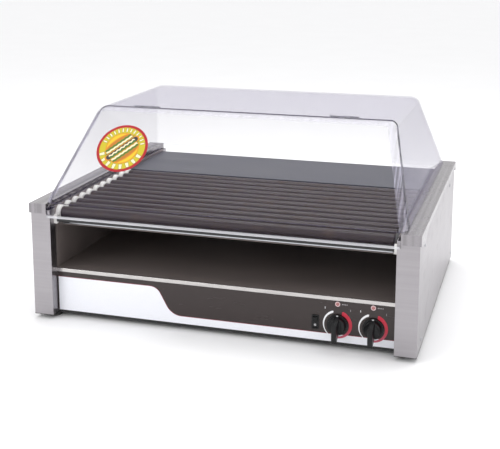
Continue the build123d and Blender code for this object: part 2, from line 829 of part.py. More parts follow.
def build_power_rocker():
    """Rocker tipped to one side; its ends are arcs about the pivot."""
    middle = foot_height + rocker_height
    pivot = Vector(rocker_x, panel_front + rocker_pivot_depth, middle)
    tilt = math.radians(rocker_tilt)
    tipped = Plane(origin=pivot, x_dir=(0, math.cos(tilt), math.sin(tilt)), z_dir=(1, 0, 0))
    trunnion_half = bezel_width / 2 - bezel_lip - pivot_wall - pivot_play
    with BuildPart() as power_rocker:
        with BuildSketch(tipped.offset(-rocker_half_width)):
            Circle(rocker_radius)
            with Locations((rocker_radius + rocker_back, 0), (-rocker_radius - rocker_face, 0)):
                Rectangle(2 * rocker_radius, 3 * rocker_radius, mode=Mode.SUBTRACT)
            with BuildLine():
                Polyline((-rocker_face, -rocker_hollow_half), (rocker_hollow - rocker_face, 0),
                         (-rocker_face, rocker_hollow_half), close=True)
            make_face(mode=Mode.SUBTRACT)
        extrude(amount=2 * rocker_half_width)
        with BuildSketch(tipped.offset(-trunnion_half)):
            Circle(trunnion_radius)
        extrude(amount=2 * trunnion_half)
    return power_rocker.part


# ---- Canopy -------------------------------------------------------------------------------
def tapered_form(inset):
    """Canopy body shrunk by an inset on every face but its open foot."""
    end_lean = math.atan2(canopy_end_run, canopy_height)
    rear_lean = math.atan2(canopy_rear_run, canopy_height)
    front_lean = math.atan2(canopy_front_run, canopy_height)
    x_in = inset / math.cos(end_lean)
    front_in = inset / math.cos(front_lean)
    rear_in = inset / math.cos(rear_lean)
    rise = (canopy_height - inset) / canopy_height
    foot_front = canopy_front + front_in
    foot_rear = canopy_rear - rear_in
    foot_half = canopy_half - x_in
    top_front = foot_front + canopy_front_run * rise
    top_rear = foot_rear - canopy_rear_run * rise
    top_half = foot_half - canopy_end_run * rise
    with BuildPart() as form:
        with BuildSketch(Plane.XY.offset(canopy_low)):
            with Locations((0, (foot_front + foot_rear) / 2)):
                Rectangle(2 * foot_half, foot_rear - foot_front)
        with BuildSketch(Plane.XY.offset(canopy_top - inset)):
            with Locations((0, (top_front + top_rear) / 2)):
                Rectangle(2 * top_half, top_rear - top_front)
        loft()
        foot_edges = form.faces().sort_by(Axis.Z)[0].edges()
        upper_edges = [e for e in form.edges() if e not in foot_edges]
        fillet(upper_edges, canopy_corner - inset)
    return form.part


def build_canopy_form():
    with BuildPart() as canopy_form:
        add(tapered_form(0))
        add(tapered_form(canopy_sheet), mode=Mode.SUBTRACT)
    return canopy_form.part


def seam_plane(distance):
    """Plane parallel to the sloping front, at a distance behind its outer face."""
    return Plane(origin=slope_foot - slope_out * distance, x_dir=(1, 0, 0), z_dir=slope_out)


def add_knuckles(starts, toward):
    """Add hinge knuckles along the hinge axis, with webs down to the sheet."""
    for start in starts:
        disc_x(start, start + hinge_knuckle_length, [(hinge_y, hinge_z)], hinge_knuckle_radius)
        near = hinge_y + toward * (door_seam / 2)
        slab(start, start + hinge_knuckle_length, near, hinge_y + toward * hinge_web,
             canopy_top - gap, hinge_z)


def hinge_starts(slots):
    """Starts of the knuckles in the given slots of each hinge."""
    step = hinge_knuckle_length + hinge_knuckle_gap
    middle = hinge_knuckle_length / 2
    return [x - middle + slot * step for x in (-hinge_x, hinge_x) for slot in slots]


def build_canopy_shell(form):
    with BuildPart() as canopy_shell:
        add(form)
        split(bisect_by=seam_plane(door_depth + door_seam / 2), keep=Keep.BOTTOM)
        skirt_half = cap_inner - skirt_side_gap
        slab(-skirt_half, skirt_half, canopy_rear - canopy_sheet, canopy_rear,
             rail_height - rear_skirt_drop, canopy_low + 0.5)
        add_knuckles(hinge_starts((-1, 1)), 1)
        disc_x(-half_width, half_width, [(hinge_y, hinge_z)], hinge_pin_radius + running_fit,
               Mode.SUBTRACT)
    return canopy_shell.part


def build_canopy_door(form):
    """Sloping front with wrapped edges, and a lip with a bead between the two rail caps."""
    lip_half = cap_inner - lip_side_gap
    lip_back = front - gap
    lip_front = lip_back - lip_sheet
    bead_y = front - gap - lip_bead_radius
    bead_z = rail_height - lip_drop
    slope = canopy_height / canopy_front_run
    back = canopy_front + canopy_sheet / math.sin(slope_angle)
    with BuildPart() as canopy_door:
        add(form)
        split(bisect_by=seam_plane(door_depth - door_seam / 2), keep=Keep.TOP)
        with BuildSketch(Plane.YZ.offset(-lip_half)) as lip:
            with BuildLine():
                Polyline(
                    (canopy_front, canopy_low),
                    (lip_front, canopy_low - (canopy_front - lip_front) * slope),
                    (lip_front, bead_z),
                    (lip_back, bead_z),
                    (lip_back, canopy_low - (back - lip_back) * slope),
                    (back, canopy_low),
                    close=True,
                )
            make_face()
            bend = lip.vertices().group_by(Axis.X)[0].sort_by(Axis.Y)[-1]
            fillet(bend, lip_corner)
        extrude(amount=2 * lip_half)
        disc_x(-lip_half, lip_half, [(bead_y, bead_z)], lip_bead_radius)
        add_knuckles(hinge_starts((0,)), -1)
        disc_x(-half_width, half_width, [(hinge_y, hinge_z)], hinge_pin_radius + running_fit,
               Mode.SUBTRACT)
    return canopy_door.part


def build_hinge_pins():
    half = 1.5 * hinge_knuckle_length + hinge_knuckle_gap
    with BuildPart() as hinge_pins:
        for x in (-hinge_x, hinge_x):
            disc_x(x - half, x + half, [(hinge_y, hinge_z)], hinge_pin_radius)
            disc_x(x + half, x + half + hinge_head_length, [(hinge_y, hinge_z)],
                   hinge_pin_radius + hinge_head_rim)
    return hinge_pins.part


def build_canopy_decal():
    along = Vector(0, math.cos(slope_angle), math.sin(slope_angle))
    climb = (decal_rise - gap) / math.sin(slope_angle)
    centre = slope_foot + along * climb + Vector(decal_x, 0, 0)
    with BuildPart() as canopy_decal:
        with BuildSketch(Plane(origin=centre, x_dir=(1, 0, 0), z_dir=slope_out)):
            Circle(decal_radius)
        extrude(amount=decal_thickness)
    return canopy_decal.part


# ---- Build everything ----------------------------------------------------------------------
os.makedirs("parts", exist_ok=True)

save(build_base_pan(), "base_pan")
save(build_feet(), "feet")
for side_name, side_sign in SIDES.items():
    save(build_side_panel(side_sign), f"{side_name}_side_panel")
    save(build_rail_cap(side_sign), f"{side_name}_rail_cap")
    save(build_bearing_plate(side_sign), f"{side_name}_bearing_plate")
save(build_side_screws(), "side_screws")
save(build_rear_panel(), "rear_panel")
save(build_cord_gland(), "cord_gland")
save(build_bay_floor(), "bay_floor")
save(build_heat_shield(), "heat_shield")
save(build_rear_deck(), "rear_deck")
save(build_front_rail(), "front_rail")
save(build_rail_end_blocks(), "rail_end_blocks")

for number, roller_y in enumerate(roller_ys, start=1):
    save(build_roller(roller_y), f"roller_{number:02d}")
    save(build_roller_sprocket(roller_y), f"roller_sprocket_{number:02d}")
save(build_bushings(), "roller_bushings")
save(build_heater_rods(), "heater_rods")
save(build_terminal_strips(), "terminal_strips")
save(build_drive_sprocket(), "drive_sprocket")
save(build_drive_chain(), "drive_chain")
save(build_gear_motor(), "gear_motor")
save(build_motor_bracket(), "motor_bracket")
save(build_chain_tensioner(), "chain_tensioner")

save(build_drip_tray(), "drip_tray")
save(build_tray_runners(), "tray_runners")

save(build_control_panel(), "control_panel")
save(build_panel_trim(), "panel_trim")
for side_name, knob_place in zip(SIDES, knob_places()):
    save(build_heat_knob(knob_place), f"{side_name}_heat_knob")
save(build_heat_controls(), "heat_controls")
save(build_indicator_lamps(), "indicator_lamps")
save(build_rocker_housing(), "rocker_housing")
save(build_power_rocker(), "power_rocker")

canopy = build_canopy_form()
save(build_canopy_shell(canopy), "canopy_shell")
save(build_canopy_door(canopy), "canopy_door")
save(build_hinge_pins(), "canopy_hinge_pins")
save(build_canopy_decal(), "canopy_decal")
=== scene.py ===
import math

import bmesh
import bpy
from bpy.props import FloatProperty, FloatVectorProperty, IntProperty, PointerProperty
from mathutils import Matrix, Vector


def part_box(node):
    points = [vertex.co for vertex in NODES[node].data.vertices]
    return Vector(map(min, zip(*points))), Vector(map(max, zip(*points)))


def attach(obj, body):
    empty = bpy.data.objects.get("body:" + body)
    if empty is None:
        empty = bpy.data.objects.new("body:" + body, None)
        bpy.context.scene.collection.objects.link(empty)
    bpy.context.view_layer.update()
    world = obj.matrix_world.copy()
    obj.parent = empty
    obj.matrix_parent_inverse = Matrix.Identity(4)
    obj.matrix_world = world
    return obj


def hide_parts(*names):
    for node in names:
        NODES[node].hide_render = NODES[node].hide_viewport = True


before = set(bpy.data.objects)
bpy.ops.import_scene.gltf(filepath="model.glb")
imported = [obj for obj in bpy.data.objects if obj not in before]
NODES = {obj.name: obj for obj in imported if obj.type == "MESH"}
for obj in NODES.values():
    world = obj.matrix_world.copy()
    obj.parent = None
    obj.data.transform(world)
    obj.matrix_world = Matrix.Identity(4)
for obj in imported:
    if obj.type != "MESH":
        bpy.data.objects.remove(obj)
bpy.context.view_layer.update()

bl_info = {
    "name": "Hot Dog Roller Grill",
    "version": (1, 0, 0),
    "blender": (4, 5, 0),
    "location": "View3D > Sidebar > Roller Grill",
    "description": "Finishes a roller grill with a bun bay and a clear canopy on its frame",
    "category": "Add Mesh",
}

MM = 0.001
SAME_PLACE = 1e-6
HALF_TURN = math.pi
FULL_TURN = 2 * math.pi
FLAT_FOLD, SHARP_FOLD, ROUNDED_FOLD = (math.radians(angle) for angle in (0.5, 32, 40))
AXES = {"X": Vector((1, 0, 0)), "Y": Vector((0, 1, 0)), "Z": Vector((0, 0, 1))}
SIDES = {"left": -1, "right": 1}
ROLLERS = sorted(name for name in NODES if name.startswith("roller_") and name[-2:].isdigit()
                 and "sprocket" not in name)


# ---- Places read from the frame ------------------------------------------------------------
def measure(node, keep=None):
    """Lowest and highest corner of the points of a node that pass a test."""
    points = [v.co for v in NODES[node].data.vertices if keep is None or keep(v.co)]
    low = Vector([min(p[axis] for p in points) for axis in range(3)])
    high = Vector([max(p[axis] for p in points) for axis in range(3)])
    return low, high


def middle(node, keep=None):
    low, high = measure(node, keep)
    return (low + high) / 2


PANEL_LOW, PANEL_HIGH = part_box("control_panel")
PANEL_FACE = PANEL_LOW.y
RAIL_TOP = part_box("left_rail_cap")[1].z
SHELL_LOW, SHELL_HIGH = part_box("canopy_shell")
FOOT_Z = measure("canopy_shell", lambda p: abs(p.x) > SHELL_HIGH.x - 5 * MM)[0].z
FOOT_REAR = SHELL_HIGH.y
FOOT_FRONT = measure("canopy_door", lambda p: abs(p.x) > SHELL_HIGH.x - 5 * MM)[0].y
CANOPY_TOP = measure("canopy_shell", lambda p: p.y > 0.2)[1].z


# ---- Sizes, colours and studio settings ----------------------------------------------------
def length(label, description, default):
    """A size in metres, given in millimetres."""
    return FloatProperty(name=label, description=description, default=default * MM, unit="LENGTH",
                         min=0.0, precision=4)


def colour(label, description, default):
    return FloatVectorProperty(name=label, description=description, default=default,
                               subtype="COLOR", size=3, min=0.0, max=1.0)


class GrillSizes(bpy.types.PropertyGroup):
    fold: length("Fold radius", "Rounding of the sheet steel edges", 0.7)
    moulding: length("Moulding radius", "Rounding of the moulded edges", 0.6)
    front_run: length("Front slope", "How far the front of the canopy leans back", 174)
    rear_run: length("Rear slope", "How far the rear of the canopy leans forward", 131)
    end_run: length("End slope", "How far each end of the canopy leans in", 57.2)
    acrylic: length("Acrylic", "Thickness of the canopy sheet", 3)
    corner: length("Corner", "Width of the rounded corners of the canopy", 20)
    top_corner: length("Top edge", "Width of the rounded top edges of the canopy", 14)
    seam_depth: length("Seam depth", "How far the door wraps back behind its face", 26)
    seam: length("Seam", "Gap between the door and the hood", 1)
    dial: length("Dial radius", "Outer radius of the printed arcs round a knob", 32.5)
    print_height: length("Print", "Thickness of the printed panel graphics", 0.12)
    field_top: length("Field top", "Height of the white field above the panel's lower edge", 81.5)
    strip_top: length("Strip top", "Height of the white strip above the panel's lower edge", 17.5)
    grit: length("Brush grain", "Spacing of the brushed grain of the steel", 0.5)


class GrillColours(bpy.types.PropertyGroup):
    steel: colour("Steel", "Brushed steel of the housings", (0.37, 0.352, 0.368))
    bright: colour("Trim", "Polished trim", (0.52, 0.50, 0.49))
    bay: colour("Bay", "Dark steel of the bay", (0.20, 0.168, 0.160))
    deck: colour("Deck", "Rear deck", (0.070, 0.072, 0.085))
    rail: colour("Rail", "Front rail", (0.012, 0.012, 0.013))
    coat: colour("Roller coat", "Coat of the rollers", (0.030, 0.021, 0.021))
    zinc: colour("Zinc", "Plated sheet and fasteners", (0.50, 0.51, 0.53))
    overlay: colour("Overlay", "Dark part of the control panel", (0.030, 0.021, 0.020))
    field: colour("Field", "Pale part of the control panel", (0.80, 0.81, 0.86))
    border: colour("Border", "Line round the pale field", (0.30, 0.012, 0.035))
    heat: colour("Heat arc", "Red arc of a dial", (0.50, 0.008, 0.035))
    nylon: colour("Nylon", "Bushings and end blocks", (0.78, 0.77, 0.75))
    knob: colour("Knob", "Moulded knobs", (0.006, 0.006, 0.007))
    lens: colour("Lamp lens", "Indicator lamps", (0.36, 0.12, 0.12))
    acrylic: colour("Acrylic", "Tint of the canopy", (0.17, 0.145, 0.26))
    ring: colour("Decal ring", "Outer ring of the decal", (0.36, 0.003, 0.010))
    band: colour("Decal band", "Band of the decal", (0.50, 0.42, 0.012))
    bun: colour("Decal bun", "Middle of the decal", (0.74, 0.47, 0.012))


class GrillStudio(bpy.types.PropertyGroup):
    surround: FloatProperty(name="Surround", description="Level of the pale surround", default=1.03)
    softbox: FloatProperty(name="Softbox", description="Power of the overhead light",
                           default=34.0, subtype="POWER")
    key: FloatProperty(name="Key", description="Power of the front light", default=20.0,
                       subtype="POWER")
    rim: FloatProperty(name="Rim", description="Power of the rear light", default=5.0,
                       subtype="POWER")
    focal: FloatProperty(name="Lens", description="Focal length of the camera", default=71.02,
                         subtype="DISTANCE_CAMERA")
    steps: IntProperty(name="Roundness", description="Sides of a turned piece", default=48)


# ---- Shader expressions --------------------------------------------------------------------
class Wire:
    """An output in a finish's node tree; arithmetic on it adds Math nodes."""

    def __init__(self, finish, socket):
        self.finish = finish
        self.socket = socket

    def math(self, operation, first, second):
        return self.finish.node("ShaderNodeMath", {"operation": operation}, {0: first, 1: second})

    def __add__(self, other):
        return self.math("ADD", self, other)

    def __sub__(self, other):
        return self.math("SUBTRACT", self, other)

    def __rsub__(self, other):
        return self.math("SUBTRACT", other, self)

    def __mul__(self, other):
        return self.math("MULTIPLY", self, other)

    def __pow__(self, other):
        return self.math("POWER", self, other)

    __radd__ = __add__
    __rmul__ = __mul__


class Finish:
    """A material being made: a principled shader and the nodes that feed it."""

    def __init__(self, name, base, roughness, metallic=0.0, **constants):
        self.material = bpy.data.materials.new(f"{name}_finish")
        self.material.use_nodes = True
        self.tree = self.material.node_tree
        self.shader = self.tree.nodes["Principled BSDF"]
        self.feed("Base Color", base)
        self.feed("Roughness", roughness)
        self.feed("Metallic", metallic)
        for socket, value in constants.items():
            self.feed(socket.replace("_", " "), value)

    def feed(self, socket, value):
        self.fill(self.shader.inputs[socket], value)

    def fill(self, socket, value):
        if isinstance(value, Wire):
            self.tree.links.new(value.socket, socket)
        elif socket.type == "RGBA" and len(value) == 3:
            socket.default_value = (*value, 1.0)
        else:
            socket.default_value = value

    def node(self, kind, settings=None, values=None, out=0):
        """Add a node: its settings first, then the numbers or links of its sockets."""
        made = self.tree.nodes.new(kind)
        for key, setting in (settings or {}).items():
            if key == "stops":
                self.stops(made.color_ramp.elements, setting)
            else:
                setattr(made, key, setting)
        for key, value in (values or {}).items():
            self.fill(made.inputs[key], value)
        return Wire(self, made.outputs[out])

    def stops(self, elements, places):
        while len(elements) < len(places):
            elements.new(1.0)
        for element, (position, shade) in zip(elements, places):
            element.position = position
            element.color = (*shade, 1.0)

    def place(self, size=(1, 1, 1)):
        """Object coordinates, in units of a feature's size along each axis."""
        here = self.node("ShaderNodeTexCoord", out="Object")
        return self.node("ShaderNodeMapping", {"vector_type": "TEXTURE"},
                         {"Vector": here, "Scale": size})

    def noise(self, size, detail=3.0):
        return self.node("ShaderNodeTexNoise", None,
                         {"Vector": self.place(size), "Scale": 1.0, "Detail": detail})

    def height(self):
        """The Z coordinate, in metres."""
        return self.node("ShaderNodeSeparateXYZ", None, {"Vector": self.place()}, out="Z")

    def rise(self, value, low, high):
        """0 below the low value, 1 above the high one, and smooth between them."""
        return self.node("ShaderNodeMapRange", {"interpolation_type": "SMOOTHSTEP"},
                         {"Value": value, "From Min": low, "From Max": high})

    def mix(self, factor, first, second):
        return self.node("ShaderNodeMix", {"data_type": "RGBA"}, {0: factor, 6: first, 7: second},
                         out=2)

    def bump(self, height, distance):
        self.feed("Normal", self.node("ShaderNodeBump", None,
                                      {"Height": height, "Distance": distance}))


def shade(base, factor):
    """A colour made darker or lighter."""
    return tuple(min(1.0, channel * factor) for channel in base)


def cubed(size):
    return (size, size, size)


# ---- Finishes ------------------------------------------------------------------------------
def brushed(name, base, across, rough=0.34, reflection_bands=0.0):
    """Sheet steel with a brushed grain that varies across the given axes; the last argument sets
    how dark the lengthwise bands are, which are painted on as reflections.
    """
    grit = sizes().grit
    fine = [grit if axis in across else 0.16 for axis in "XYZ"]
    broad = [grit * 9 if axis in across else 0.6 for axis in "XYZ"]
    finish = Finish(name, base, rough, 1.0)
    grain = finish.noise(fine, detail=2.0)
    streak = finish.noise(broad, detail=2.0)
    smudge = finish.noise(cubed(0.11), detail=4.0)
    hand = finish.rise(finish.noise(cubed(0.05), detail=2.0), 0.56, 0.72)
    # Lengthwise bands darkened in the base colour: painted reflection bands of a profiled top.
    band = finish.rise(finish.noise((11 * MM, 1.2, 1.2), detail=1.0), 0.40, 0.60)
    tone = finish.mix(streak * 0.7 + smudge * 0.3, shade(base, 0.86), shade(base, 1.10))
    finish.feed("Base Color", finish.mix(band * reflection_bands, tone, shade(base, 0.62)))
    finish.feed("Roughness", grain * 0.16 + smudge * 0.10 + hand * 0.06 + (rough - 0.14))
    finish.bump(grain * 0.7 + streak * 0.3, 0.03 * MM)
    return finish.material


def polished(name, base):
    """Bright trim with fine draw lines and small dings."""
    finish = Finish(name, base, 0.2, 1.0)
    lines = finish.noise((0.09, 0.4 * MM, 0.4 * MM))
    ripple = finish.noise((0.025, 4 * MM, 4 * MM), detail=2.0)
    finish.feed("Base Color", finish.mix(ripple, shade(base, 0.80), shade(base, 1.18)))
    finish.feed("Roughness", lines * 0.14 + ripple * 0.12 + 0.10)
    finish.bump(ripple * 0.8 + lines * 0.2, 0.12 * MM)
    return finish.material


def painted(name, base, rough=0.42, metallic=0.0, speck=1.0, gloss=0.5):
    """Painted or coated sheet with orange peel, rubbed patches and a little dust."""
    finish = Finish(name, base, rough, metallic, Specular_IOR_Level=gloss)
    peel = finish.noise(cubed(1.6 * MM), detail=2.0)
    rubbed = finish.noise((0.19, 0.07, 0.07), detail=5.0)
    dust = finish.rise(finish.noise(cubed(2.2 * MM), detail=1.0), 0.70, 0.78)
    tone = finish.mix(rubbed, shade(base, 0.78), shade(base, 1.22))
    finish.feed("Base Color", finish.mix(dust * (0.10 * speck), tone, (0.45, 0.43, 0.40)))
    finish.feed("Roughness", rubbed * 0.24 + peel * 0.05 + (rough - 0.15))
    finish.bump(peel, 0.02 * MM)
    return finish.material


def plated(name, base):
    """Zinc plate with its faint spangle."""
    finish = Finish(name, base, 0.4, 1.0)
    spangle = finish.node("ShaderNodeTexVoronoi", None,
                          {"Vector": finish.place(cubed(9 * MM)), "Scale": 1.0}, out="Color")
    flake = finish.node("ShaderNodeSeparateColor", None, {"Color": spangle})
    cloud = finish.noise(cubed(0.06), detail=4.0)
    finish.feed("Base Color", finish.mix(flake * 0.5 + cloud * 0.5, shade(base, 0.82),
                                         shade(base, 1.15)))
    finish.feed("Roughness", flake * 0.12 + cloud * 0.12 + 0.28)
    finish.bump(cloud, 0.05 * MM)
    return finish.material


def coated_roller(name, base):
    """Hard roller coat: turning lines, lengthwise drag marks and patches of baked fat."""
    finish = Finish(name, base, 0.42, Specular_IOR_Level=0.26)
    turning = finish.noise((0.6 * MM, 0.05, 0.05), detail=2.0)
    drag = finish.noise((0.30, 2.5 * MM, 2.5 * MM), detail=3.0)
    baked = finish.rise(finish.noise((0.045, 0.02, 0.02), detail=5.0), 0.50, 0.72)
    tone = finish.mix(drag, shade(base, 0.72), shade(base, 1.35))
    finish.feed("Base Color", finish.mix(baked * 0.45, tone, (0.060, 0.035, 0.020)))
    finish.feed("Roughness", drag * 0.16 + baked * 0.16 + turning * 0.05 + 0.20)
    finish.bump(turning * 0.6 + drag * 0.4, 0.03 * MM)
    return finish.material


def moulded(name, base, rough=0.36, grain=0.3, coat=0.0, gloss=0.5):
    """Moulded plastic with a fine spark-eroded texture and handled, shinier patches."""
    finish = Finish(name, base, rough, Coat_Weight=coat, Specular_IOR_Level=gloss)
    sparks = finish.noise(cubed(grain * MM), detail=1.0)
    handled = finish.noise(cubed(0.016), detail=3.0)
    finish.feed("Base Color", finish.mix(handled, shade(base, 0.84), shade(base, 1.14)))
    finish.feed("Roughness", handled * 0.18 + sparks * 0.06 + (rough - 0.12))
    finish.bump(sparks, 0.015 * MM)
    return finish.material


def overlay_gloss(name, base):
    """Printed plastic overlay with a slow ripple and wiped fingerprints."""
    finish = Finish(name, base, 0.16, Specular_IOR_Level=0.4)
    ripple = finish.noise(cubed(0.030), detail=1.0)
    wiped = finish.rise(finish.noise((0.07, 0.02, 0.012), detail=4.0), 0.48, 0.70)
    finish.feed("Base Color", finish.mix(ripple, shade(base, 0.92), shade(base, 1.12)))
    finish.feed("Roughness", wiped * 0.14 + ripple * 0.05 + 0.12)
    finish.bump(ripple, 0.08 * MM)
    return finish.material


def printed(name, base, rough=0.34):
    """Printed ink with a little mottle."""
    finish = Finish(name, base, rough)
    mottle = finish.noise(cubed(1.2 * MM), detail=2.0)
    finish.feed("Base Color", finish.mix(mottle, shade(base, 0.93), shade(base, 1.05)))
    finish.feed("Roughness", mottle * 0.12 + (rough - 0.06))
    finish.bump(mottle, 0.01 * MM)
    return finish.material


def heat_ink(name, base):
    """Red ink that fades towards the foot of a dial."""
    finish = Finish(name, base, 0.34)
    centre = middle("left_heat_knob").z
    fade = finish.rise(finish.height(), centre - 30 * MM, centre + 4 * MM)
    mottle = finish.noise(cubed(1.2 * MM))
    ink = finish.mix(fade, (0.50, 0.09, 0.15), base)
    finish.feed("Base Color", finish.mix(mottle * 0.2, ink, shade(base, 0.7)))
    finish.feed("Roughness", mottle * 0.12 + 0.28)
    return finish.material


def clear_sheet(name, tint, least, most, power, rim):
    """Formed acrylic: clear face on, tinted at a slant and darker where the sheet turns away."""
    finish = Finish(name, tint, 0.05, 0.0, IOR=1.49)
    facing = finish.node("ShaderNodeLayerWeight", None, {"Blend": 0.5}, out="Facing")
    haze = finish.noise(cubed(0.12), detail=3.0)
    wiped = finish.noise((0.02, 0.10, 0.10), detail=4.0)
    finish.feed("Alpha", facing ** power * most + facing ** 8 * rim + haze * 0.02 + least)
    finish.feed("Roughness", wiped * 0.08 + 0.02)
    finish.feed("Base Color", finish.mix(haze, shade(tint, 0.94), shade(tint, 1.06)))
    finish.bump(haze, 0.5 * MM)
    return finish.material


def clear_bend(name, tint, least):
    """Heat-bent acrylic: streaks that run up the bend, painted lighter and darker in the base
    colour as painted highlights and painted shade of the bend.
    """
    finish = Finish(name, tint, 0.12, 0.0, IOR=1.49)
    streak = finish.noise((3.5 * MM, 0.09, 0.12), detail=2.0)
    band = finish.rise(streak, 0.42, 0.60)
    # Light and dark bands in the base colour: painted highlights and painted shade along the bend.
    finish.feed("Base Color", finish.mix(band, shade(tint, 0.55), shade(tint, 1.5)))
    finish.feed("Alpha", streak * 0.20 + (least - 0.08))
    finish.feed("Roughness", streak * 0.2 + 0.04)
    finish.bump(streak, 0.2 * MM)
    return finish.material


def sheet_rim(name, tint):
    """Sawn and flamed rim of the acrylic, painted near black and nearly opaque: painted shade for
    the dark lines along the sheet's edges.
    """
    finish = Finish(name, tint, 0.22, 0.0, IOR=1.49)
    saw = finish.noise(cubed(1.5 * MM), detail=2.0)
    # Near-black base colour: painted shade along the rim.
    finish.feed("Base Color", finish.mix(saw, shade(tint, 0.05), shade(tint, 0.2)))
    finish.feed("Alpha", saw * 0.1 + 0.88)
    finish.feed("Roughness", saw * 0.25 + 0.12)
    return finish.material


def oily_steel(name, base):
    """Oiled chain and sprocket steel with dark grease in the low places."""
    finish = Finish(name, base, 0.4, 1.0)
    grease = finish.rise(finish.noise(cubed(7 * MM), detail=4.0), 0.42, 0.66)
    score = finish.noise((0.4 * MM, 0.01, 0.01), detail=1.0)
    finish.feed("Base Color", finish.mix(grease, base, (0.030, 0.024, 0.018)))
    finish.feed("Metallic", 1.0 - grease * 0.7)
    finish.feed("Roughness", grease * 0.15 + score * 0.15 + 0.22)
    finish.bump(score, 0.02 * MM)
    return finish.material


def tinted_sheath(name, base):
    """Heater sheath with straw and blue heat tints along its length."""
    finish = Finish(name, base, 0.35, 1.0)
    along = finish.noise((0.08, 0.5, 0.5), detail=2.0)
    tint = finish.node("ShaderNodeValToRGB", {"stops": [(0.30, base), (0.50, (0.42, 0.30, 0.14)),
                                                        (0.66, (0.22, 0.20, 0.34))]},
                       {"Fac": along})
    finish.feed("Base Color", tint)
    finish.feed("Roughness", finish.noise(cubed(3 * MM)) * 0.2 + 0.25)
    return finish.material


def rubber(name, base):
    """Matt rubber with moulding grain and a dusty lower edge."""
    finish = Finish(name, base, 0.8)
    grain = finish.noise(cubed(0.8 * MM), detail=2.0)
    dust = finish.rise(finish.height() * -1.0 + grain * MM, -4 * MM, 0.0)
    finish.feed("Base Color", finish.mix(dust * 0.35, base, (0.22, 0.21, 0.20)))
    finish.feed("Roughness", grain * 0.2 + 0.65)
    finish.bump(grain, 0.05 * MM)
    return finish.material


def board(name, base):
    """Pressed mica board with flakes and scorched holes."""
    finish = Finish(name, base, 0.6)
    flakes = finish.noise(cubed(2.5 * MM), detail=4.0)
    scorch = finish.rise(finish.noise(cubed(0.03), detail=3.0), 0.5, 0.8)
    finish.feed("Base Color", finish.mix(scorch * 0.5, finish.mix(flakes, shade(base, 0.8), base),
                                         (0.30, 0.20, 0.11)))
    finish.feed("Roughness", flakes * 0.3 + 0.4)
    finish.bump(flakes, 0.06 * MM)
    return finish.material


def sizes():
    return bpy.context.scene.grill_sizes


def colours():
    return bpy.context.scene.grill_colours


def studio():
    return bpy.context.scene.grill_studio


RECIPES = {
    "steel_housing": lambda name, c: brushed(name, c.steel, "Z"),
    # Rail caps: the housing steel painted darker, with dark lengthwise bands, as painted
    # reflections of dark surroundings.
    "steel_rail": lambda name, c: brushed(name, shade(c.steel, 0.90), "XZ", 0.26, 0.6),
    "trim_bright": lambda name, c: polished(name, c.bright),
    "bay_steel": lambda name, c: painted(name, c.bay, 0.46, 0.3),
    # Base pan: painted near black, so that its edge under the control panel stands in for the
    # shadow line there.
    "pan_paint": lambda name, c: painted(name, c.rail, 0.5),
    "deck_coat": lambda name, c: painted(name, c.deck, 0.40, speck=0.2, gloss=0.16),
    "rail_black": lambda name, c: painted(name, c.rail, 0.36),
    "roller_coat": lambda name, c: coated_roller(name, c.coat),
    "zinc_plate": lambda name, c: plated(name, c.zinc),
    "overlay": lambda name, c: overlay_gloss(name, c.overlay),
    "ink_field": lambda name, c: printed(name, c.field),
    "ink_border": lambda name, c: printed(name, c.border),
    "ink_white": lambda name, c: printed(name, (0.82, 0.82, 0.84)),
    "ink_faint": lambda name, c: printed(name, (0.30, 0.28, 0.29)),
    "ink_dark": lambda name, c: printed(name, (0.035, 0.03, 0.03)),
    "ink_heat": lambda name, c: heat_ink(name, c.heat),
    "ink_ring": lambda name, c: printed(name, c.ring),
    "ink_band": lambda name, c: printed(name, c.band),
    "ink_bun": lambda name, c: printed(name, c.bun),
    "ink_roll": lambda name, c: printed(name, (0.44, 0.16, 0.012)),
    "ink_crust": lambda name, c: printed(name, (0.60, 0.24, 0.010)),
    "ink_green": lambda name, c: printed(name, (0.06, 0.17, 0.02)),
    "ink_cream": lambda name, c: printed(name, (0.80, 0.74, 0.48)),
    # Right-hand bushings: the same nylon painted near black, as painted shade.
    "nylon_dark": lambda name, c: moulded(name, (0.03, 0.028, 0.028), 0.45, 0.5),
    "nylon": lambda name, c: moulded(name, c.nylon, 0.45, 0.5),
    "knob_black": lambda name, c: moulded(name, c.knob, 0.34, 0.3, gloss=0.3),
    "switch_black": lambda name, c: moulded(name, shade(c.knob, 0.9), 0.28, 0.25, gloss=0.3),
    "lens_red": lambda name, c: moulded(name, c.lens, 0.16, 2.0, 0.6),
    "lens_ring": lambda name, c: moulded(name, (0.70, 0.52, 0.53), 0.22, 1.0, 0.4),
    "clear_front": lambda name, c: clear_sheet(name, c.acrylic, 0.008, 0.24, 1.6, 0.40),
    "clear_hood": lambda name, c: clear_sheet(name, c.acrylic, 0.050, 0.50, 4.0, 0.12),
    "clear_bend": lambda name, c: clear_bend(name, (0.42, 0.40, 0.50), 0.22),
    "clear_hinge": lambda name, c: clear_sheet(name, (0.5, 0.5, 0.56), 0.03, 0.05, 2.0, 0.05),
    # Bead of the lip: pale, half-opaque acrylic, a painted highlight along the lip.
    "clear_bead": lambda name, c: clear_sheet(name, (0.80, 0.80, 0.84), 0.35, 0.40, 1.6, 0.2),
    # Rim: near black, painted shade.
    "clear_rim": lambda name, c: sheet_rim(name, c.acrylic),
    "chain_steel": lambda name, c: oily_steel(name, (0.34, 0.33, 0.32)),
    "heater_sheath": lambda name, c: tinted_sheath(name, (0.44, 0.42, 0.40)),
    "mica_board": lambda name, c: board(name, (0.72, 0.68, 0.60)),
    "motor_enamel": lambda name, c: painted(name, (0.035, 0.036, 0.04), 0.35),
    "phenolic": lambda name, c: moulded(name, (0.42, 0.38, 0.31), 0.5, 1.0),
    "foot_rubber": lambda name, c: rubber(name, (0.02, 0.02, 0.02)),
}


def finish_of(name):
    """The named material, made the first time that it is asked for."""
    return bpy.data.materials.get(f"{name}_finish") or RECIPES[name](name, colours())


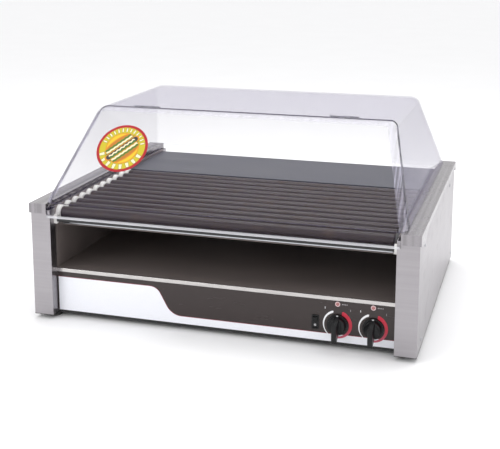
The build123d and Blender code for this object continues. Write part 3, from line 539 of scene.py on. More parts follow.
# ---- Making pieces -------------------------------------------------------------------------
def add_piece(bm, name, body, finishes, replaces=(), rounding=0.0,
              merge=SAME_PLACE):
    """Turn a bmesh into a piece that rides on a body, with smooth curves and sharp folds."""
    bmesh.ops.remove_doubles(bm, verts=bm.verts, dist=merge)
    bmesh.ops.recalc_face_normals(bm, faces=bm.faces)
    mesh = bpy.data.meshes.new(name)
    bm.to_mesh(mesh)
    bm.free()
    mesh.shade_smooth()
    mesh.set_sharp_from_angle(angle=SHARP_FOLD)
    made = bpy.data.objects.new(name, mesh)
    bpy.context.scene.collection.objects.link(made)
    for finish in finishes:
        mesh.materials.append(finish_of(finish))
    if rounding > 0:
        add_rounding(made, rounding)
    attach(made, body)
    if replaces:
        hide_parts(*replaces)
    return made


def add_rounding(made, width, segments=2):
    bevel = made.modifiers.new("rounding", "BEVEL")
    bevel.width = width
    bevel.segments = segments
    bevel.limit_method = "ANGLE"
    bevel.angle_limit = ROUNDED_FOLD
    bevel.harden_normals = True


def copy_node(bm, node):
    """Add a merged copy of a node's mesh, with its flat faces whole again."""
    mesh = NODES[node].data
    before = len(bm.verts)
    bm.from_mesh(mesh)
    bmesh.ops.remove_doubles(bm, verts=bm.verts[before:], dist=SAME_PLACE)
    bmesh.ops.dissolve_limit(bm, angle_limit=FLAT_FOLD, verts=bm.verts[:],
                             edges=bm.edges[:], delimit=set())
    for face in bm.faces:
        face.material_index = 0


def dress(node, body, finish, rounding):
    """A piece with a node's exact shape and rounded edges, in place of the node."""
    bm = bmesh.new()
    copy_node(bm, node)
    return add_piece(bm, f"{node}_finished", body, [finish], [node], rounding)


def coat(node, finish):
    """Give a node, as it is, a material."""
    NODES[node].data.materials.clear()
    NODES[node].data.materials.append(finish_of(finish))


def turned(bm, profile, centre, axis, material=0, closed=False):
    """Spin a profile of (along, radius) points, or a closed ring of them, round an axis."""
    along, side = AXES[axis], AXES["Y" if axis == "X" else "X"]
    centre = Vector(centre)
    verts = [bm.verts.new(centre + along * a + side * r) for a, r in profile]
    pairs = list(zip(verts, verts[1:]))
    if closed:
        pairs.append((verts[-1], verts[0]))
    edges = [bm.edges.new(pair) for pair in pairs]
    old = set(bm.faces)
    bmesh.ops.spin(bm, geom=verts + edges, cent=centre, axis=along, dvec=(0, 0, 0),
                   angle=FULL_TURN, steps=studio().steps, use_merge=True)
    new = [face for face in bm.faces if face not in old]
    for face in new:
        face.material_index = material
    return new


def arc(centre, radius, start, end, count):
    """Points of an arc, from one angle in degrees to another."""
    turns = [math.radians(start + (end - start) * k / count) for k in range(count + 1)]
    return [(centre[0] + radius * math.cos(t), centre[1] + radius * math.sin(t)) for t in turns]


def block(bm, low, high, material=0):
    """Add a box between two corners."""
    low, high = Vector(low), Vector(high)
    place = Matrix.Translation((low + high) / 2) @ Matrix.Diagonal((*(high - low), 1))
    made = bmesh.ops.create_cube(bm, size=1, matrix=place)
    for face in {f for v in made["verts"] for f in v.link_faces}:
        face.material_index = material
    return made["verts"]


def plate(bm, outline, place, thickness, material=0):
    """Add a thin plate with a flat outline, standing on the plane of a placing matrix."""
    corners = [bm.verts.new((x, y, 0)) for x, y in outline]
    under = bm.faces.new(corners)
    grown = bmesh.ops.extrude_face_region(bm, geom=[under], use_keep_orig=True)["geom"]
    top = [item for item in grown if isinstance(item, bmesh.types.BMVert)]
    bmesh.ops.translate(bm, verts=top, vec=(0, 0, thickness))
    for face in {f for v in corners + top for f in v.link_faces}:
        face.material_index = material
    bmesh.ops.transform(bm, matrix=place, verts=corners + top)


def disc(bm, radius, place, thickness, material=0, stretch=1.0, steps=48):
    """Add a thin round or oval plate."""
    outline = [(x, y * stretch) for x, y in arc((0, 0), radius, 0, 360, steps)[:-1]]
    plate(bm, outline, place, thickness, material)


def tapered_arc(bm, place, radius, start, end, widths, thickness, material):
    """Add a printed arc whose width tapers from its start to its end, with a rounded start."""
    count = 40
    outer, inner = [], []
    for k in range(count + 1):
        share = k / count
        angle = math.radians(start + (end - start) * share)
        half = (widths[0] + (widths[1] - widths[0]) * share ** 0.8) / 2
        half *= min(1.0, math.sqrt(1 - (1 - min(1.0, share * count / 3)) ** 2) + 0.12)
        middle_radius = radius - widths[0] / 2 + (widths[0] / 2 - half) * 0.6
        for side, line in ((1, outer), (-1, inner)):
            reach = middle_radius + side * half
            line.append((reach * math.cos(angle), reach * math.sin(angle)))
    plate(bm, outer + inner[::-1], place, thickness, material)


def panel_place(x, z, rise=0.0):
    """A placing matrix on the control panel: X to the right, Y up, standing off the front."""
    turn = Matrix(((1, 0, 0), (0, 0, -1), (0, 1, 0))).to_4x4()
    return Matrix.Translation((x, PANEL_FACE - rise, z)) @ turn


# ---- The pieces ----------------------------------------------------------------------------
class MakeHousings(bpy.types.Operator):
    """Finish the side housings, the rail caps, the base pan and the rear panel"""
    bl_idname = "roller_grill.make_housings"
    bl_label = "Housings"

    def execute(self, context):
        fold = sizes().fold
        for side in SIDES:
            dress(f"{side}_side_panel", "chassis", "steel_housing", fold)
            dress(f"{side}_rail_cap", "chassis", "steel_rail", fold)
            dress(f"{side}_bearing_plate", "chassis", "bay_steel", 0)
        # Base pan in the near-black finish: painted shade under the panel.
        dress("base_pan", "chassis", "pan_paint", fold / 2)
        dress("rear_panel", "chassis", "steel_housing", 0)
        dress("cord_gland", "chassis", "switch_black", sizes().moulding)
        return {"FINISHED"}


class MakeFeet(bpy.types.Operator):
    """Turn the four rubber feet, each with a waist and a washer"""
    bl_idname = "roller_grill.make_feet"
    bl_label = "Feet"

    def execute(self, context):
        low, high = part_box("feet")
        bm = bmesh.new()
        radius = measure("feet", lambda p: p.x > 0 and p.y > 0 and p.z > high.z - MM)
        top = (radius[1].x - radius[0].x) / 2
        centre_x, centre_y = high.x - top, high.y - top
        foot = high.z - low.z
        profile = [(low.z, 0), (low.z, top * 0.82), (low.z + 0.05 * foot, top * 0.90),
                   (low.z + 0.2 * foot, top * 0.94), (low.z + 0.45 * foot, top * 0.90),
                   (low.z + 0.7 * foot, top * 0.93), (high.z - 0.1 * foot, top * 0.99),
                   (high.z, top * 0.99), (high.z, 0)]
        for x in (-centre_x, centre_x):
            for y in (-centre_y, centre_y):
                turned(bm, profile, (x, y, 0), "Z")
        add_piece(bm, "feet_rubber", "chassis", ["foot_rubber"], ["feet"])
        return {"FINISHED"}


class MakeScrews(bpy.types.Operator):
    """Turn the domed screws of the side housings, each with a driver recess"""
    bl_idname = "roller_grill.make_screws"
    bl_label = "Side screws"

    def execute(self, context):
        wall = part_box("right_side_panel")[1].x
        heads = [v.co for v in NODES["side_screws"].data.vertices if v.co.x > wall + MM]
        cell, apart = 20 * MM, 8 * MM
        groups = {}
        for point in heads:
            groups.setdefault((round(point.y / cell), round(point.z / cell)), []).append(point)
        places = []
        for points in groups.values():
            mean = sum(points, Vector()) / len(points)
            if all((mean - other).length > apart for other in places):
                near = [p for p in heads if (p - mean).length < apart]
                places.append(Vector([(min(p[k] for p in near) + max(p[k] for p in near)) / 2
                                      for k in range(3)]))
        head, tall, shank, reach = 4.5 * MM, 1.95 * MM, 2.0 * MM, 6 * MM
        recess, mouth = 1.1 * MM, 1.5 * MM
        profile = [(tall - recess, 0), (tall - recess, recess), (tall, mouth),
                   (tall * 0.96, head * 0.55), (tall * 0.70, head * 0.85), (tall * 0.3, head),
                   (0, head), (0, shank), (-reach, shank), (-reach, 0)]
        bm = bmesh.new()
        for side in SIDES.values():
            points = [(side * (wall + a), r) for a, r in profile]
            for place in places:
                turned(bm, points, (0, place.y, place.z), "X")
        add_piece(bm, "side_screw_heads", "chassis", ["zinc_plate"], ["side_screws"])
        return {"FINISHED"}


class MakeBay(bpy.types.Operator):
    """Finish the bun bay, the heat shield, the front rail and the rear deck"""
    bl_idname = "roller_grill.make_bay"
    bl_label = "Bun bay and deck"

    def execute(self, context):
        fold = sizes().fold
        dress("bay_floor", "chassis", "bay_steel", 0)
        dress("heat_shield", "chassis", "bay_steel", 0)
        dress("front_rail", "chassis", "rail_black", 0)
        dress("rail_end_blocks", "chassis", "nylon", sizes().moulding)
        dress("rear_deck", "chassis", "deck_coat", fold)
        dress("tray_runners", "chassis", "zinc_plate", 0)
        dress("drip_tray", "drip_tray", "zinc_plate", 0.3 * MM)
        return {"FINISHED"}


class MakeRollers(bpy.types.Operator):
    """Turn the eleven hollow rollers, their bushings and their heater rods"""
    bl_idname = "roller_grill.make_rollers"
    bl_label = "Rollers"

    def execute(self, context):
        for name in ROLLERS:
            self.make_roller(name)
        self.make_bushings()
        coat("heater_rods", "heater_sheath")
        return {"FINISHED"}

    def make_roller(self, name):
        low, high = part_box(name)
        centre = middle(name)
        radius = (high.z - low.z) / 2
        on_barrel = measure(name, lambda p: math.hypot(p.y - centre.y, p.z - centre.z)
                            > radius - 0.2 * MM)
        half = on_barrel[1].x + 1.5 * MM
        journal = measure(name, lambda p: p.x > half + MM)
        neck = (journal[1].z - journal[0].z) / 2
        neck_wall, barrel_wall, plug, chamfer = 2 * MM, 1.8 * MM, 6 * MM, 0.5 * MM
        bore, inside, end = neck - neck_wall, radius - barrel_wall, half - plug
        shoulder = [(half, radius - 2.2 * MM), (half - 0.5 * MM, radius - 0.8 * MM),
                    (half - 1.6 * MM, radius)]
        profile = [(low.x, bore), (low.x, neck - chamfer), (low.x + chamfer, neck), (-half, neck)]
        profile += [(-a, r) for a, r in shoulder]
        profile += shoulder[::-1]
        profile += [(half, neck), (high.x - chamfer, neck), (high.x, neck - chamfer),
                    (high.x, bore), (end, bore), (end, inside), (-end, inside), (-end, bore)]
        bm = bmesh.new()
        turned(bm, profile, (0, centre.y, centre.z), "X", closed=True)
        add_piece(bm, f"{name}_tube", name, ["roller_coat"], [name])

    def make_bushings(self):
        bm = bmesh.new()
        low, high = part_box("roller_bushings")
        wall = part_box("right_bearing_plate")[0].x
        roller = middle(ROLLERS[0])
        half_pitch, neck, bore, chamfer = 19 * MM, 11.5 * MM, 7.05 * MM, 0.6 * MM
        near = measure("roller_bushings",
                       lambda p: p.x > 0 and abs(p.y - roller.y) < half_pitch)
        flange = (near[1].z - near[0].z) / 2
        face = near[0].x
        profile = [(face, bore + chamfer), (face, flange - 4 * MM),
                   (face + 0.8 * MM, flange - 2 * MM), (face + 2.4 * MM, flange - 0.3 * MM),
                   (face + 3.2 * MM, flange), (wall, flange), (wall, neck),
                   (high.x - chamfer, neck), (high.x, neck - chamfer), (high.x, bore),
                   (face + chamfer, bore)]
        for side in SIDES.values():
            for name in ROLLERS:
                points = [(side * a, r) for a, r in profile]
                place = middle(name)
                # Right-hand bushings take the dark nylon: painted shade.
                turned(bm, points, (0, place.y, place.z), "X", int(side > 0), closed=True)
        add_piece(bm, "roller_bushing_set", "chassis", ["nylon", "nylon_dark"],
                  ["roller_bushings"])


class MakeDrive(bpy.types.Operator):
    """Finish the sprockets, the chain, the gear motor and the heater terminals"""
    bl_idname = "roller_grill.make_drive"
    bl_label = "Drive"

    def execute(self, context):
        for name in ROLLERS:
            coat(name.replace("roller_", "roller_sprocket_"), "chain_steel")
        coat("drive_sprocket", "chain_steel")
        coat("drive_chain", "chain_steel")
        dress("gear_motor", "chassis", "motor_enamel", 0)
        coat("motor_bracket", "zinc_plate")
        coat("chain_tensioner", "nylon")
        coat("terminal_strips", "mica_board")
        coat("heat_controls", "phenolic")
        return {"FINISHED"}


class MakePanel(bpy.types.Operator):
    """Print the control panel's pale field and its border line, and finish the panel and its trim
    """
    bl_idname = "roller_grill.make_panel"
    bl_label = "Control panel"

    def execute(self, context):
        dress("control_panel", "chassis", "overlay", 0)
        dress("panel_trim", "chassis", "trim_bright", 0)
        bm = bmesh.new()
        height = sizes().print_height
        plate(bm, self.field(0.9 * MM), panel_place(0, 0), height, 1)
        plate(bm, self.field(0), panel_place(0, 0, height), height, 0)
        add_piece(bm, "panel_field", "chassis", ["ink_field", "ink_border"])
        return {"FINISHED"}

    def field(self, grow):
        """Outline of the pale field: high at the left, then a swept edge down to a low strip."""
        left, right = PANEL_LOW.x + 3 * MM, PANEL_HIGH.x - 1.0 * MM
        base = PANEL_LOW.z
        top = base + sizes().field_top + grow
        strip = base + sizes().strip_top + grow
        lean, corner_x = math.radians(61.4), -147.4 * MM
        upper, lower = 28 * MM + grow, 40 * MM - grow
        crest = corner_x + grow * math.tan(lean / 2)
        foot = crest + (top - strip) / math.tan(lean)
        turn_upper = upper * math.tan(lean / 2)
        turn_lower = lower * math.tan(lean / 2)
        degrees = math.degrees(lean)
        outline = [(left, base + 0.4 * MM), (left, top)]
        outline += arc((crest - turn_upper, top - upper), upper, 90, 90 - degrees, 12)
        outline += arc((foot + turn_lower, strip + lower), lower, 270 - degrees, 270, 14)
        outline += [(right, strip), (right, base + 0.4 * MM)]
        return outline


class MakeDials(bpy.types.Operator):
    """Print the tapered arcs and the marks round each knob and beside each lamp"""
    bl_idname = "roller_grill.make_dials"
    bl_label = "Dials"
    ARCS = ((107, 228, (5.4, 1.4)), (71, -88, (9.4, 4.4)))
    MARKS = (((-27.5, 35.5), (1.0, 5.0), 2), ((28.0, 34.0), (1.0, 4.6), 3))
    DASHES = ((10.2, 2.6), (13.6, 2.2), (16.9, 2.4), (20.2, 2.0))
    DASH_RISE, DASH_TALL = 46.3, 2.2

    def execute(self, context):
        height = sizes().print_height
        for side in SIDES:
            knob = self.knob_axis(side)
            place = panel_place(knob.x, knob.z, 2.2 * height)
            bm = bmesh.new()
            for ink, (start, end, widths) in enumerate(self.ARCS):
                widths = [width * MM for width in widths]
                tapered_arc(bm, place, sizes().dial, start, end, widths, height, ink)
            for centre, size, ink in self.MARKS:
                self.mark(bm, knob, centre, size, ink)
            for offset, wide in self.DASHES:
                self.mark(bm, knob, (offset, self.DASH_RISE), (wide, self.DASH_TALL), 3)
            add_piece(bm, f"{side}_dial_print", "chassis",
                      ["ink_white", "ink_heat", "ink_white", "ink_faint"])
        return {"FINISHED"}

    def knob_axis(self, side):
        skirt = measure(f"{side}_heat_knob", lambda p: p.y > PANEL_FACE - 3 * MM
                        and p.y < PANEL_FACE)
        return (skirt[0] + skirt[1]) / 2

    def mark(self, bm, knob, centre, size, material):
        """A small printed bar, placed from the knob's axis in millimetres."""
        x, z = (value * MM for value in centre)
        half_x, half_z = (value * MM / 2 for value in size)
        outline = [(-half_x, -half_z), (half_x, -half_z), (half_x, half_z), (-half_x, half_z)]
        plate(bm, outline, panel_place(knob.x + x, knob.z + z), sizes().print_height, material)


class MakeKnobs(bpy.types.Operator):
    """Finish the two heat knobs and print their pointers"""
    bl_idname = "roller_grill.make_knobs"
    bl_label = "Heat knobs"

    def execute(self, context):
        for side in SIDES:
            node = f"{side}_heat_knob"
            bm = bmesh.new()
            copy_node(bm, node)
            skirt = measure(node, lambda p: p.y < PANEL_FACE - 4.5 * MM and p.y
                            > PANEL_FACE - 5.2 * MM)
            axis = (skirt[0] + skirt[1]) / 2
            rim = measure(node)[1].z
            pointer = [(-1.5 * MM, -2.4 * MM), (1.5 * MM, -2.4 * MM), (2.3 * MM, 1.1 * MM),
                       (-2.3 * MM, 1.1 * MM)]
            place = panel_place(axis.x, rim - 2.2 * MM, 4.75 * MM)
            plate(bm, pointer, place, 0.25 * MM, 1)
            add_piece(bm, f"{node}_finished", node, ["knob_black", "ink_white"],
                      [node])
        return {"FINISHED"}


class MakeSwitches(bpy.types.Operator):
    """Turn the lamp lenses, and finish the rocker switch with its two marks"""
    bl_idname = "roller_grill.make_switches"
    bl_label = "Lamps and switch"

    def execute(self, context):
        self.make_lamps()
        dress("rocker_housing", "chassis", "switch_black", 0)
        self.make_rocker()
        return {"FINISHED"}

    def make_lamps(self):
        bm = bmesh.new()
        low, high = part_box("indicator_lamps")
        lens = 5.5 * MM
        dome = PANEL_FACE - low.y
        profile = [(high.y, 0), (high.y, 4 * MM), (PANEL_FACE, 4 * MM), (PANEL_FACE, lens),
                   (PANEL_FACE - 0.45 * dome, lens), (PANEL_FACE - 0.62 * dome, lens * 0.94),
                   (PANEL_FACE - 0.66 * dome, lens * 0.80), (PANEL_FACE - 0.50 * dome, lens * 0.66),
                   (PANEL_FACE - 0.55 * dome, lens * 0.60), (PANEL_FACE - 0.82 * dome, lens * 0.45),
                   (PANEL_FACE - 0.95 * dome, lens * 0.22), (PANEL_FACE - dome, 0)]
        for x in (low.x + lens, high.x - lens):
            for face in turned(bm, profile, (x, 0, middle("indicator_lamps").z), "Y"):
                centre = face.calc_center_median()
                out = math.hypot(centre.x - x, centre.z - middle("indicator_lamps").z)
                face.material_index = 1 if out < lens * 0.63 else 0
        add_piece(bm, "lamp_lenses", "chassis", ["lens_ring", "lens_red"],
                  ["indicator_lamps"])

    def make_rocker(self):
        bm = bmesh.new()
        copy_node(bm, "power_rocker")
        low, high = measure("power_rocker", lambda p: p.y < PANEL_FACE - 3 * MM)
        x = (low.x + high.x) / 2
        upper = measure("power_rocker", lambda p: p.z > middle("power_rocker").z + 8 * MM)[0]
        lower = measure("power_rocker", lambda p: p.z < middle("power_rocker").z - 8 * MM)[0]
        centre_z = middle("power_rocker").z
        half_bar, tall_bar, mark_rise, reach = 0.5 * MM, 2.0 * MM, 6.5 * MM, 12 * MM
        bar = [(-half_bar, -tall_bar), (half_bar, -tall_bar), (half_bar, tall_bar),
               (-half_bar, tall_bar)]
        waist = PANEL_FACE - 1.6 * MM
        for point, rise in ((upper, mark_rise), (lower, -mark_rise)):
            depth = waist + (point.y - waist) * mark_rise / reach
            lean = math.atan2(point.y - waist, math.copysign(reach, rise))
            place = Matrix.Translation((x, depth - 0.02 * MM, centre_z + rise)) @ Matrix.Rotation(
                HALF_TURN / 2 + (-lean if rise > 0 else HALF_TURN - lean), 4, "X")
            if rise > 0:
                plate(bm, bar, place, 0.15 * MM, 1)
            else:
                disc(bm, 2.2 * MM, place, 0.15 * MM, 1, steps=24)
                disc(bm, 1.3 * MM, place, 0.20 * MM, 0, steps=24)
        add_piece(bm, "power_rocker_finished", "power_rocker",
                  ["switch_black", "ink_white"], ["power_rocker"])


# ---- Canopy --------------------------------------------------------------------------------
def slope_out():
    """Outward direction of the sloping front."""
    run, rise = sizes().front_run, CANOPY_TOP - FOOT_Z
    return Vector((0, -rise, run)).normalized()


def canopy_form(bm):
    """The closed outer form of the canopy, open at its foot, with rounded corners."""
    measures = sizes()
    bmesh.ops.create_cube(bm, size=1)
    for vert in bm.verts:
        right, back, up = (vert.co[axis] > 0 for axis in range(3))
        half = SHELL_HIGH.x - (measures.end_run if up else 0)
        near = FOOT_FRONT + (measures.front_run if up else 0)
        far = FOOT_REAR - (measures.rear_run if up else 0)
        vert.co = (half if right else -half, far if back else near, CANOPY_TOP if up else FOOT_Z)
    leaning = [e for e in bm.edges if abs(e.verts[0].co.z - e.verts[1].co.z) > 10 * MM]
    bmesh.ops.bevel(bm, geom=leaning, offset=measures.corner, offset_type="OFFSET", segments=9,
                    profile=0.5, affect="EDGES", material=-1)
    top = max(bm.faces, key=lambda face: face.calc_center_median().z)
    bmesh.ops.bevel(bm, geom=list(top.edges), offset=measures.top_corner, offset_type="OFFSET",
                    segments=6, profile=0.5, affect="EDGES", material=-1)
    foot = min(bm.faces, key=lambda face: face.calc_center_median().z)
    bmesh.ops.delete(bm, geom=[foot], context="FACES_ONLY")


def cut_at_seam(bm, depth, keep_front):
    """Cut the form parallel to its sloping front and keep one side."""
    out = slope_out()
    point = Vector((0, FOOT_FRONT, FOOT_Z)) - out * depth
    bmesh.ops.bisect_plane(bm, geom=bm.verts[:] + bm.edges[:] + bm.faces[:], dist=SAME_PLACE,
                           plane_co=point, plane_no=out, clear_inner=keep_front,
                           clear_outer=not keep_front)


def knuckles(bm, node, toward):
    """Add the hinge knuckles of one sheet and the webs that carry them."""
    axis = middle("canopy_hinge_pins")
    radius, bore, span = 3.2 * MM, 1.6 * MM, 22.2 * MM
    web_near, web_far = 2.2 * MM, 7 * MM
    above = [v.co.x for v in NODES[node].data.vertices if v.co.z > CANOPY_TOP + 3 * MM]
    ends = sorted(set(round(x, 5) for x in above))
    clusters = []
    for x in ends:
        if clusters and x - clusters[-1][0] < span:
            clusters[-1].append(x)
        else:
            clusters.append([x])
    for cluster in clusters:
        start, end = cluster[0], cluster[-1]
        turned(bm, [(start, bore), (start, radius), (end, radius), (end, bore)],
               (0, axis.y, axis.z), "X", closed=True)
        near, far = sorted((axis.y + toward * web_near, axis.y + toward * web_far))
        block(bm, (start, near, CANOPY_TOP - 0.2 * MM), (end, far, axis.z - 0.4 * MM))


class MakeHood(bpy.types.Operator):
    """Form the clear hood: its top, rear and ends, with the rear skirt and hinge knuckles"""
    bl_idname = "roller_grill.make_hood"
    bl_label = "Canopy hood"

    def execute(self, context):
        bm = bmesh.new()
        canopy_form(bm)
        cut_at_seam(bm, sizes().seam_depth + sizes().seam / 2, False)
        made = sheet_piece(bm, "hood_sheet", "canopy",
                           ["clear_hood", "clear_rim", "clear_hood", "clear_front"],
                           lambda normal: 2 if normal.y > 0.3 else 0)
        extras = bmesh.new()
        knuckles(extras, "canopy_shell", 1)
        skirt_low = SHELL_LOW.z
        half = measure("canopy_shell", lambda p: p.z < skirt_low + MM)[1].x
        block(extras, (-half, FOOT_REAR - sizes().acrylic, skirt_low), (half, FOOT_REAR, FOOT_Z))
        add_piece(extras, "hood_skirt_and_knuckles", "canopy", ["clear_hinge"],
                  rounding=0.4 * MM)
        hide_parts("canopy_shell")
        return {"FINISHED"}


def sheet_piece(bm, name, body, finishes, chosen):
    """A thin form made into a piece with a wall; chosen gives the finish of each face."""
    bmesh.ops.remove_doubles(bm, verts=bm.verts, dist=SAME_PLACE)
    bmesh.ops.recalc_face_normals(bm, faces=bm.faces)
    for wall in bm.faces:
        wall.material_index = chosen(wall.normal)
    made = add_piece(bm, name, body, finishes)
    wall = made.modifiers.new("wall", "SOLIDIFY")
    wall.thickness = sizes().acrylic
    wall.offset = -1
    wall.use_even_offset = True
    wall.material_offset_rim = 1
    add_rounding(made, 0.5 * MM)
    return made


class MakeDoor(bpy.types.Operator):
    """Form the clear front that flips up, with its lip and bead"""
    bl_idname = "roller_grill.make_door"
    bl_label = "Canopy door"

    def execute(self, context):
        bm = bmesh.new()
        canopy_form(bm)
        cut_at_seam(bm, sizes().seam_depth - sizes().seam / 2, True)
        hinges = bmesh.new()
        knuckles(hinges, "canopy_door", -1)
        add_piece(hinges, "door_knuckles", "canopy_door", ["clear_hinge"])
        made = sheet_piece(bm, "door_sheet", "canopy_door",
                           ["clear_front", "clear_rim", "clear_bend", "clear_rim"],
                           self.finish_index)
        self.make_lip()
        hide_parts("canopy_door")
        return {"FINISHED"}

    def finish_index(self, normal):
        """Clear over the face and the top; painted highlight streaks round the bends; beside the
        seam, the near-black rim finish as painted shade.
        """
        if normal.dot(slope_out()) > 0.97 or normal.z > 0.98:
            return 0
        return 1 if abs(normal.x) > 0.945 else 2

    def make_lip(self):
        low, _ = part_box("canopy_door")
        sheet = sizes().acrylic
        slope = (CANOPY_TOP - FOOT_Z) / sizes().front_run
        below = measure("canopy_door", lambda p: p.z < RAIL_TOP - 14 * MM)
        half = below[1].x
        back = below[1].y
        face = measure("canopy_door", lambda p: RAIL_TOP - 22 * MM < p.z < RAIL_TOP - 4 * MM)[0].y
        bead = 3 * MM
        centre = (low.y + bead, low.z + bead)
        bead_top = centre[1] + bead * 1.1
        angle = math.degrees(math.acos((face - centre[0]) / bead))
        inner = FOOT_FRONT + sheet / math.sin(math.atan(slope))
        outline = [(FOOT_FRONT, FOOT_Z), (face, FOOT_Z - (FOOT_FRONT - face) * slope)]
        outline += arc(centre, bead, angle, 360, 18)
        outline += [(back, FOOT_Z - (inner - back) * slope), (inner, FOOT_Z)]
        bm = bmesh.new()
        place = Matrix(((0, 0, 1, -half), (1, 0, 0, 0), (0, 1, 0, 0), (0, 0, 0, 1)))
        plate(bm, outline, place, 2 * half)
        bends = [e for e in bm.edges if abs(e.verts[0].co.x - e.verts[1].co.x) > half
                 and FOOT_Z - 12 * MM < e.verts[0].co.z < FOOT_Z - MM]
        bmesh.ops.bevel(bm, geom=bends, offset=2.2 * MM, offset_type="OFFSET", segments=5,
                        profile=0.5, affect="EDGES", material=-1)
        # The bead faces take the pale bead finish, a painted highlight.
        for wall in bm.faces:
            place = wall.calc_center_median()
            wall.material_index = 2 if abs(place.x) > half - MM else 1 if place.z < bead_top else 0
        add_piece(bm, "door_lip", "canopy_door",
                  ["clear_front", "clear_bead", "clear_rim"])


class MakeHinges(bpy.types.Operator):
    """Turn the headed hinge pins of the door"""
    bl_idname = "roller_grill.make_hinges"
    bl_label = "Hinge pins"

    def execute(self, context):
        low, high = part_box("canopy_hinge_pins")
        centre = middle("canopy_hinge_pins")
        bm = bmesh.new()
        head = (high.z - low.z) / 2
        pin = head - MM
        for side in SIDES.values():
            points = measure("canopy_hinge_pins", lambda p: p.x * side > 0)
            start, end = points[0].x, points[1].x
            profile = [(start, 0), (start, pin - 0.3 * MM), (start + 0.3 * MM, pin),
                       (end - 1.5 * MM, pin), (end - 1.5 * MM, head), (end - 0.7 * MM, head * 0.9),
                       (end - 0.1 * MM, head * 0.4), (end, 0)]
            turned(bm, profile, (0, centre.y, centre.z), "X")
        add_piece(bm, "hinge_pin_pair", "canopy", ["clear_hinge"],
                  ["canopy_hinge_pins"])
        return {"FINISHED"}


class MakeDecal(bpy.types.Operator):
    """Print the round decal: a red ring, a band of plain marks and a hot dog in its bun"""
    bl_idname = "roller_grill.make_decal"
    bl_label = "Canopy decal"
    INKS = ["ink_ring", "ink_band", "ink_crust", "ink_bun", "ink_cream", "ink_green", "ink_dark",
            "ink_roll"]
    RING, BAND, CRUST, BUN, CREAM, GREEN, DARK, ROLL = range(8)
    # Share of the radius, thickness in millimetres and ink of each disc.
    RINGS = ((1.0, 0.22, RING), (0.895, 0.26, BAND), (0.655, 0.30, CRUST), (0.615, 0.34, BUN))
    # Start and end in degrees, count, half width and half length in millimetres.
    BARS = ((18, 162, 13, 1.8, 4.8), (202, 338, 8, 3.7, 6.0))
    BAR_RING, BAR_EDGE = 0.785, 0.7
    # Shares of the picture's radius: length and width; then thickness and ink.
    FILLING = ((1.16, 0.34, 0.08, GREEN), (1.22, 0.23, 0.10, CRUST), (1.12, 0.17, 0.12, DARK))
    # Shares of the picture's radius: offset, sway and width; then ink.
    STRIPES = ((0.46, 0.02, 0.06, GREEN), (0.32, 0.02, 0.055, CREAM), (0.03, 0.04, 0.05, CREAM),
               (-0.12, 0.02, 0.05, GREEN), (-0.30, 0.02, 0.055, CREAM),
               (-0.44, 0.02, 0.06, GREEN))

    def execute(self, context):
        low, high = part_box("canopy_decal")
        radius = (high.x - low.x) / 2
        across = slope_out()
        up = Vector((0, across.z, -across.y))
        turn = Matrix((Vector((1, 0, 0)), up, across)).transposed().to_4x4()
        centre = (low + high) / 2 - across * 0.2 * MM
        self.base = Matrix.Translation(centre) @ turn
        bm = bmesh.new()
        for share, thickness, material in self.RINGS:
            disc(bm, radius * share, self.base, thickness * MM, material, steps=72)
        self.marks(bm, radius)
        self.hot_dog(bm, radius * 0.62)
        add_piece(bm, "decal_disc", "canopy_door", self.INKS, ["canopy_decal"],
                  merge=SAME_PLACE / 10)
        return {"FINISHED"}

    def marks(self, bm, radius):
        """Plain bars round the band: short ones over the top and broad ones below."""
        for start, end, count, half_y, half_x in self.BARS:
            half_x, half_y = half_x * MM, half_y * MM
            for k in range(count):
                angle = math.radians(start + (end - start) * k / (count - 1))
                place = self.base @ Matrix.Rotation(angle, 4, "Z") @ Matrix.Translation(
                    (radius * self.BAR_RING, 0, 0.26 * MM))
                for grow, thickness, ink in ((self.BAR_EDGE * MM, 0.02, self.DARK),
                                             (0, 0.05, self.CREAM)):
                    far, wide, narrow = half_x + grow, half_y + grow, half_y * 0.8 + grow
                    outline = [(-far, -wide), (far, -narrow), (far, narrow), (-far, wide)]
                    plate(bm, outline, place, thickness * MM, ink)

    def hot_dog(self, bm, radius):
        """Two halves of a bun with a sausage, green leaves and pale lines between them."""
        slant = self.base @ Matrix.Rotation(math.radians(45), 4, "Z")
        high = 0.34 * MM
        for side in SIDES.values():
            place = slant @ Matrix.Translation((0, side * radius * 0.40, high))
            disc(bm, radius * 0.98, place, 0.04 * MM, self.CRUST, stretch=0.40)
            place = slant @ Matrix.Translation((0, side * radius * 0.42, high))
            disc(bm, radius * 0.90, place, 0.06 * MM, self.ROLL, stretch=0.33)
        for reach, half, thickness, material in self.FILLING:
            place = slant @ Matrix.Translation((0, 0, high))
            plate(bm, self.capsule(radius * reach, radius * half), place, thickness * MM, material)
        for offset, sway, width, material in self.STRIPES:
            wave = [(radius * (-0.92 + 1.84 * k / 32),
                     radius * (offset + sway * math.sin(k * 1.3))) for k in range(33)]
            outline = [(x, y + width * radius) for x, y in wave]
            outline += [(x, y - width * radius) for x, y in wave[::-1]]
            plate(bm, outline, slant @ Matrix.Translation((0, 0, high)), 0.15 * MM, material)

    def capsule(self, reach, half):
        right = arc((reach - half, 0), half, -90, 90, 12)
        left = arc((half - reach, 0), half, 90, 270, 12)
        return right + left


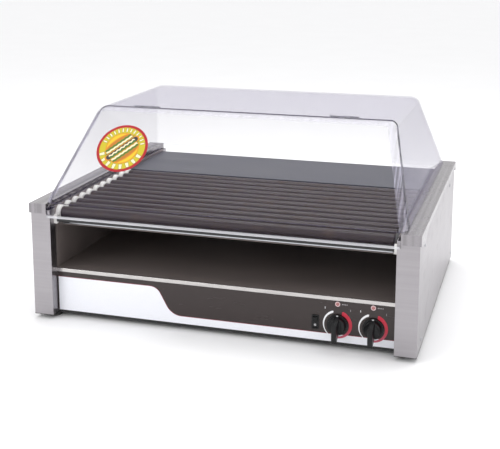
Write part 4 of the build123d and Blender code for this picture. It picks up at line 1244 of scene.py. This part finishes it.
# ---- Stage ---------------------------------------------------------------------------------
class MakeStage(bpy.types.Operator):
    """Lay a pale floor and set the soft lights and the camera"""
    bl_idname = "roller_grill.make_stage"
    bl_label = "Stage"
    # Place, aim and size of each light; its power is the studio setting of the same name.
    LIGHTS = {"softbox": ((0.1, 0.35, 2.3), (0.0, 0.0, 0.2), (2.4, 1.5)),
              "key": ((-1.7, -2.4, 1.7), (0.0, -0.1, 0.15), (1.6, 1.2)),
              "rim": ((2.3, 1.5, 1.5), (0.1, 0.1, 0.25), (1.2, 1.2))}
    CAMERA_PLACE = (0.6749, -2.3056, 0.8695)
    CAMERA_TURN = (79.09, 0, 16.94)
    CAMERA_SHIFT, SENSOR = -0.189, 36.0
    FLOOR_HALF = 14.0

    def execute(self, context):
        self.make_floor()
        self.make_surround(context.scene)
        for name, (place, aim, size) in self.LIGHTS.items():
            self.make_light(name, place, aim, size, getattr(studio(), name))
        self.make_camera(context.scene)
        return {"FINISHED"}

    def make_floor(self):
        bm = bmesh.new()
        bmesh.ops.create_grid(bm, x_segments=1, y_segments=1, size=self.FLOOR_HALF)
        mesh = bpy.data.meshes.new("floor")
        bm.to_mesh(mesh)
        bm.free()
        floor = bpy.data.objects.new("floor", mesh)
        bpy.context.scene.collection.objects.link(floor)
        finish = Finish("floor_paper", (0.90, 0.90, 0.91), 0.9)
        fibre = finish.noise(cubed(0.3), detail=3.0)
        finish.feed("Base Color", finish.mix(fibre, (0.89, 0.89, 0.90), (0.92, 0.92, 0.93)))
        mesh.materials.append(finish.material)

    def make_surround(self, scene):
        world = bpy.data.worlds.new("surround")
        world.use_nodes = True
        light = world.node_tree.nodes["Background"]
        light.inputs["Color"].default_value = (1.0, 1.0, 1.0, 1.0)
        light.inputs["Strength"].default_value = studio().surround
        scene.world = world
        scene.view_settings.view_transform = "Standard"

    def make_light(self, name, place, aim, size, power):
        lamp = bpy.data.lights.new(name, "AREA")
        lamp.shape = "RECTANGLE"
        lamp.size, lamp.size_y = size
        lamp.energy = power
        made = bpy.data.objects.new(name, lamp)
        made.location = place
        made.rotation_euler = (Vector(aim) - Vector(place)).to_track_quat("-Z", "Y").to_euler()
        bpy.context.scene.collection.objects.link(made)

    def make_camera(self, scene):
        lens = bpy.data.cameras.new("camera")
        lens.lens = studio().focal
        lens.sensor_width = self.SENSOR
        lens.shift_y = self.CAMERA_SHIFT
        camera = bpy.data.objects.new("camera", lens)
        camera.location = self.CAMERA_PLACE
        camera.rotation_euler = [math.radians(angle) for angle in self.CAMERA_TURN]
        scene.collection.objects.link(camera)
        scene.camera = camera


# ---- Add-on --------------------------------------------------------------------------------
PIECES = (MakeHousings, MakeFeet, MakeScrews, MakeBay, MakeRollers, MakeDrive, MakePanel,
          MakeDials, MakeKnobs, MakeSwitches, MakeHood, MakeDoor, MakeHinges, MakeDecal, MakeStage)


class GRILL_PT_sidebar(bpy.types.Panel):
    bl_label = "Roller Grill"
    bl_idname = "GRILL_PT_sidebar"
    bl_space_type = "VIEW_3D"
    bl_region_type = "UI"
    bl_category = "Roller Grill"

    def draw(self, context):
        for group in (sizes(), colours(), studio()):
            box = self.layout.box()
            for name in group.__annotations__:
                box.prop(group, name)
        for operator in PIECES:
            self.layout.operator(operator.bl_idname)


GROUPS = {"grill_sizes": GrillSizes, "grill_colours": GrillColours, "grill_studio": GrillStudio}


def register():
    for group in GROUPS.values():
        bpy.utils.register_class(group)
    for name, group in GROUPS.items():
        setattr(bpy.types.Scene, name, PointerProperty(type=group))
    for kind in (*PIECES, GRILL_PT_sidebar):
        bpy.utils.register_class(kind)


def unregister():
    for kind in (GRILL_PT_sidebar, *PIECES[::-1]):
        bpy.utils.unregister_class(kind)
    for name, group in GROUPS.items():
        delattr(bpy.types.Scene, name)
        bpy.utils.unregister_class(group)


def main():
    register()
    for operator in PIECES:
        getattr(bpy.ops.roller_grill, operator.bl_idname.split(".")[1])()


if __name__ == "__main__":
    main()
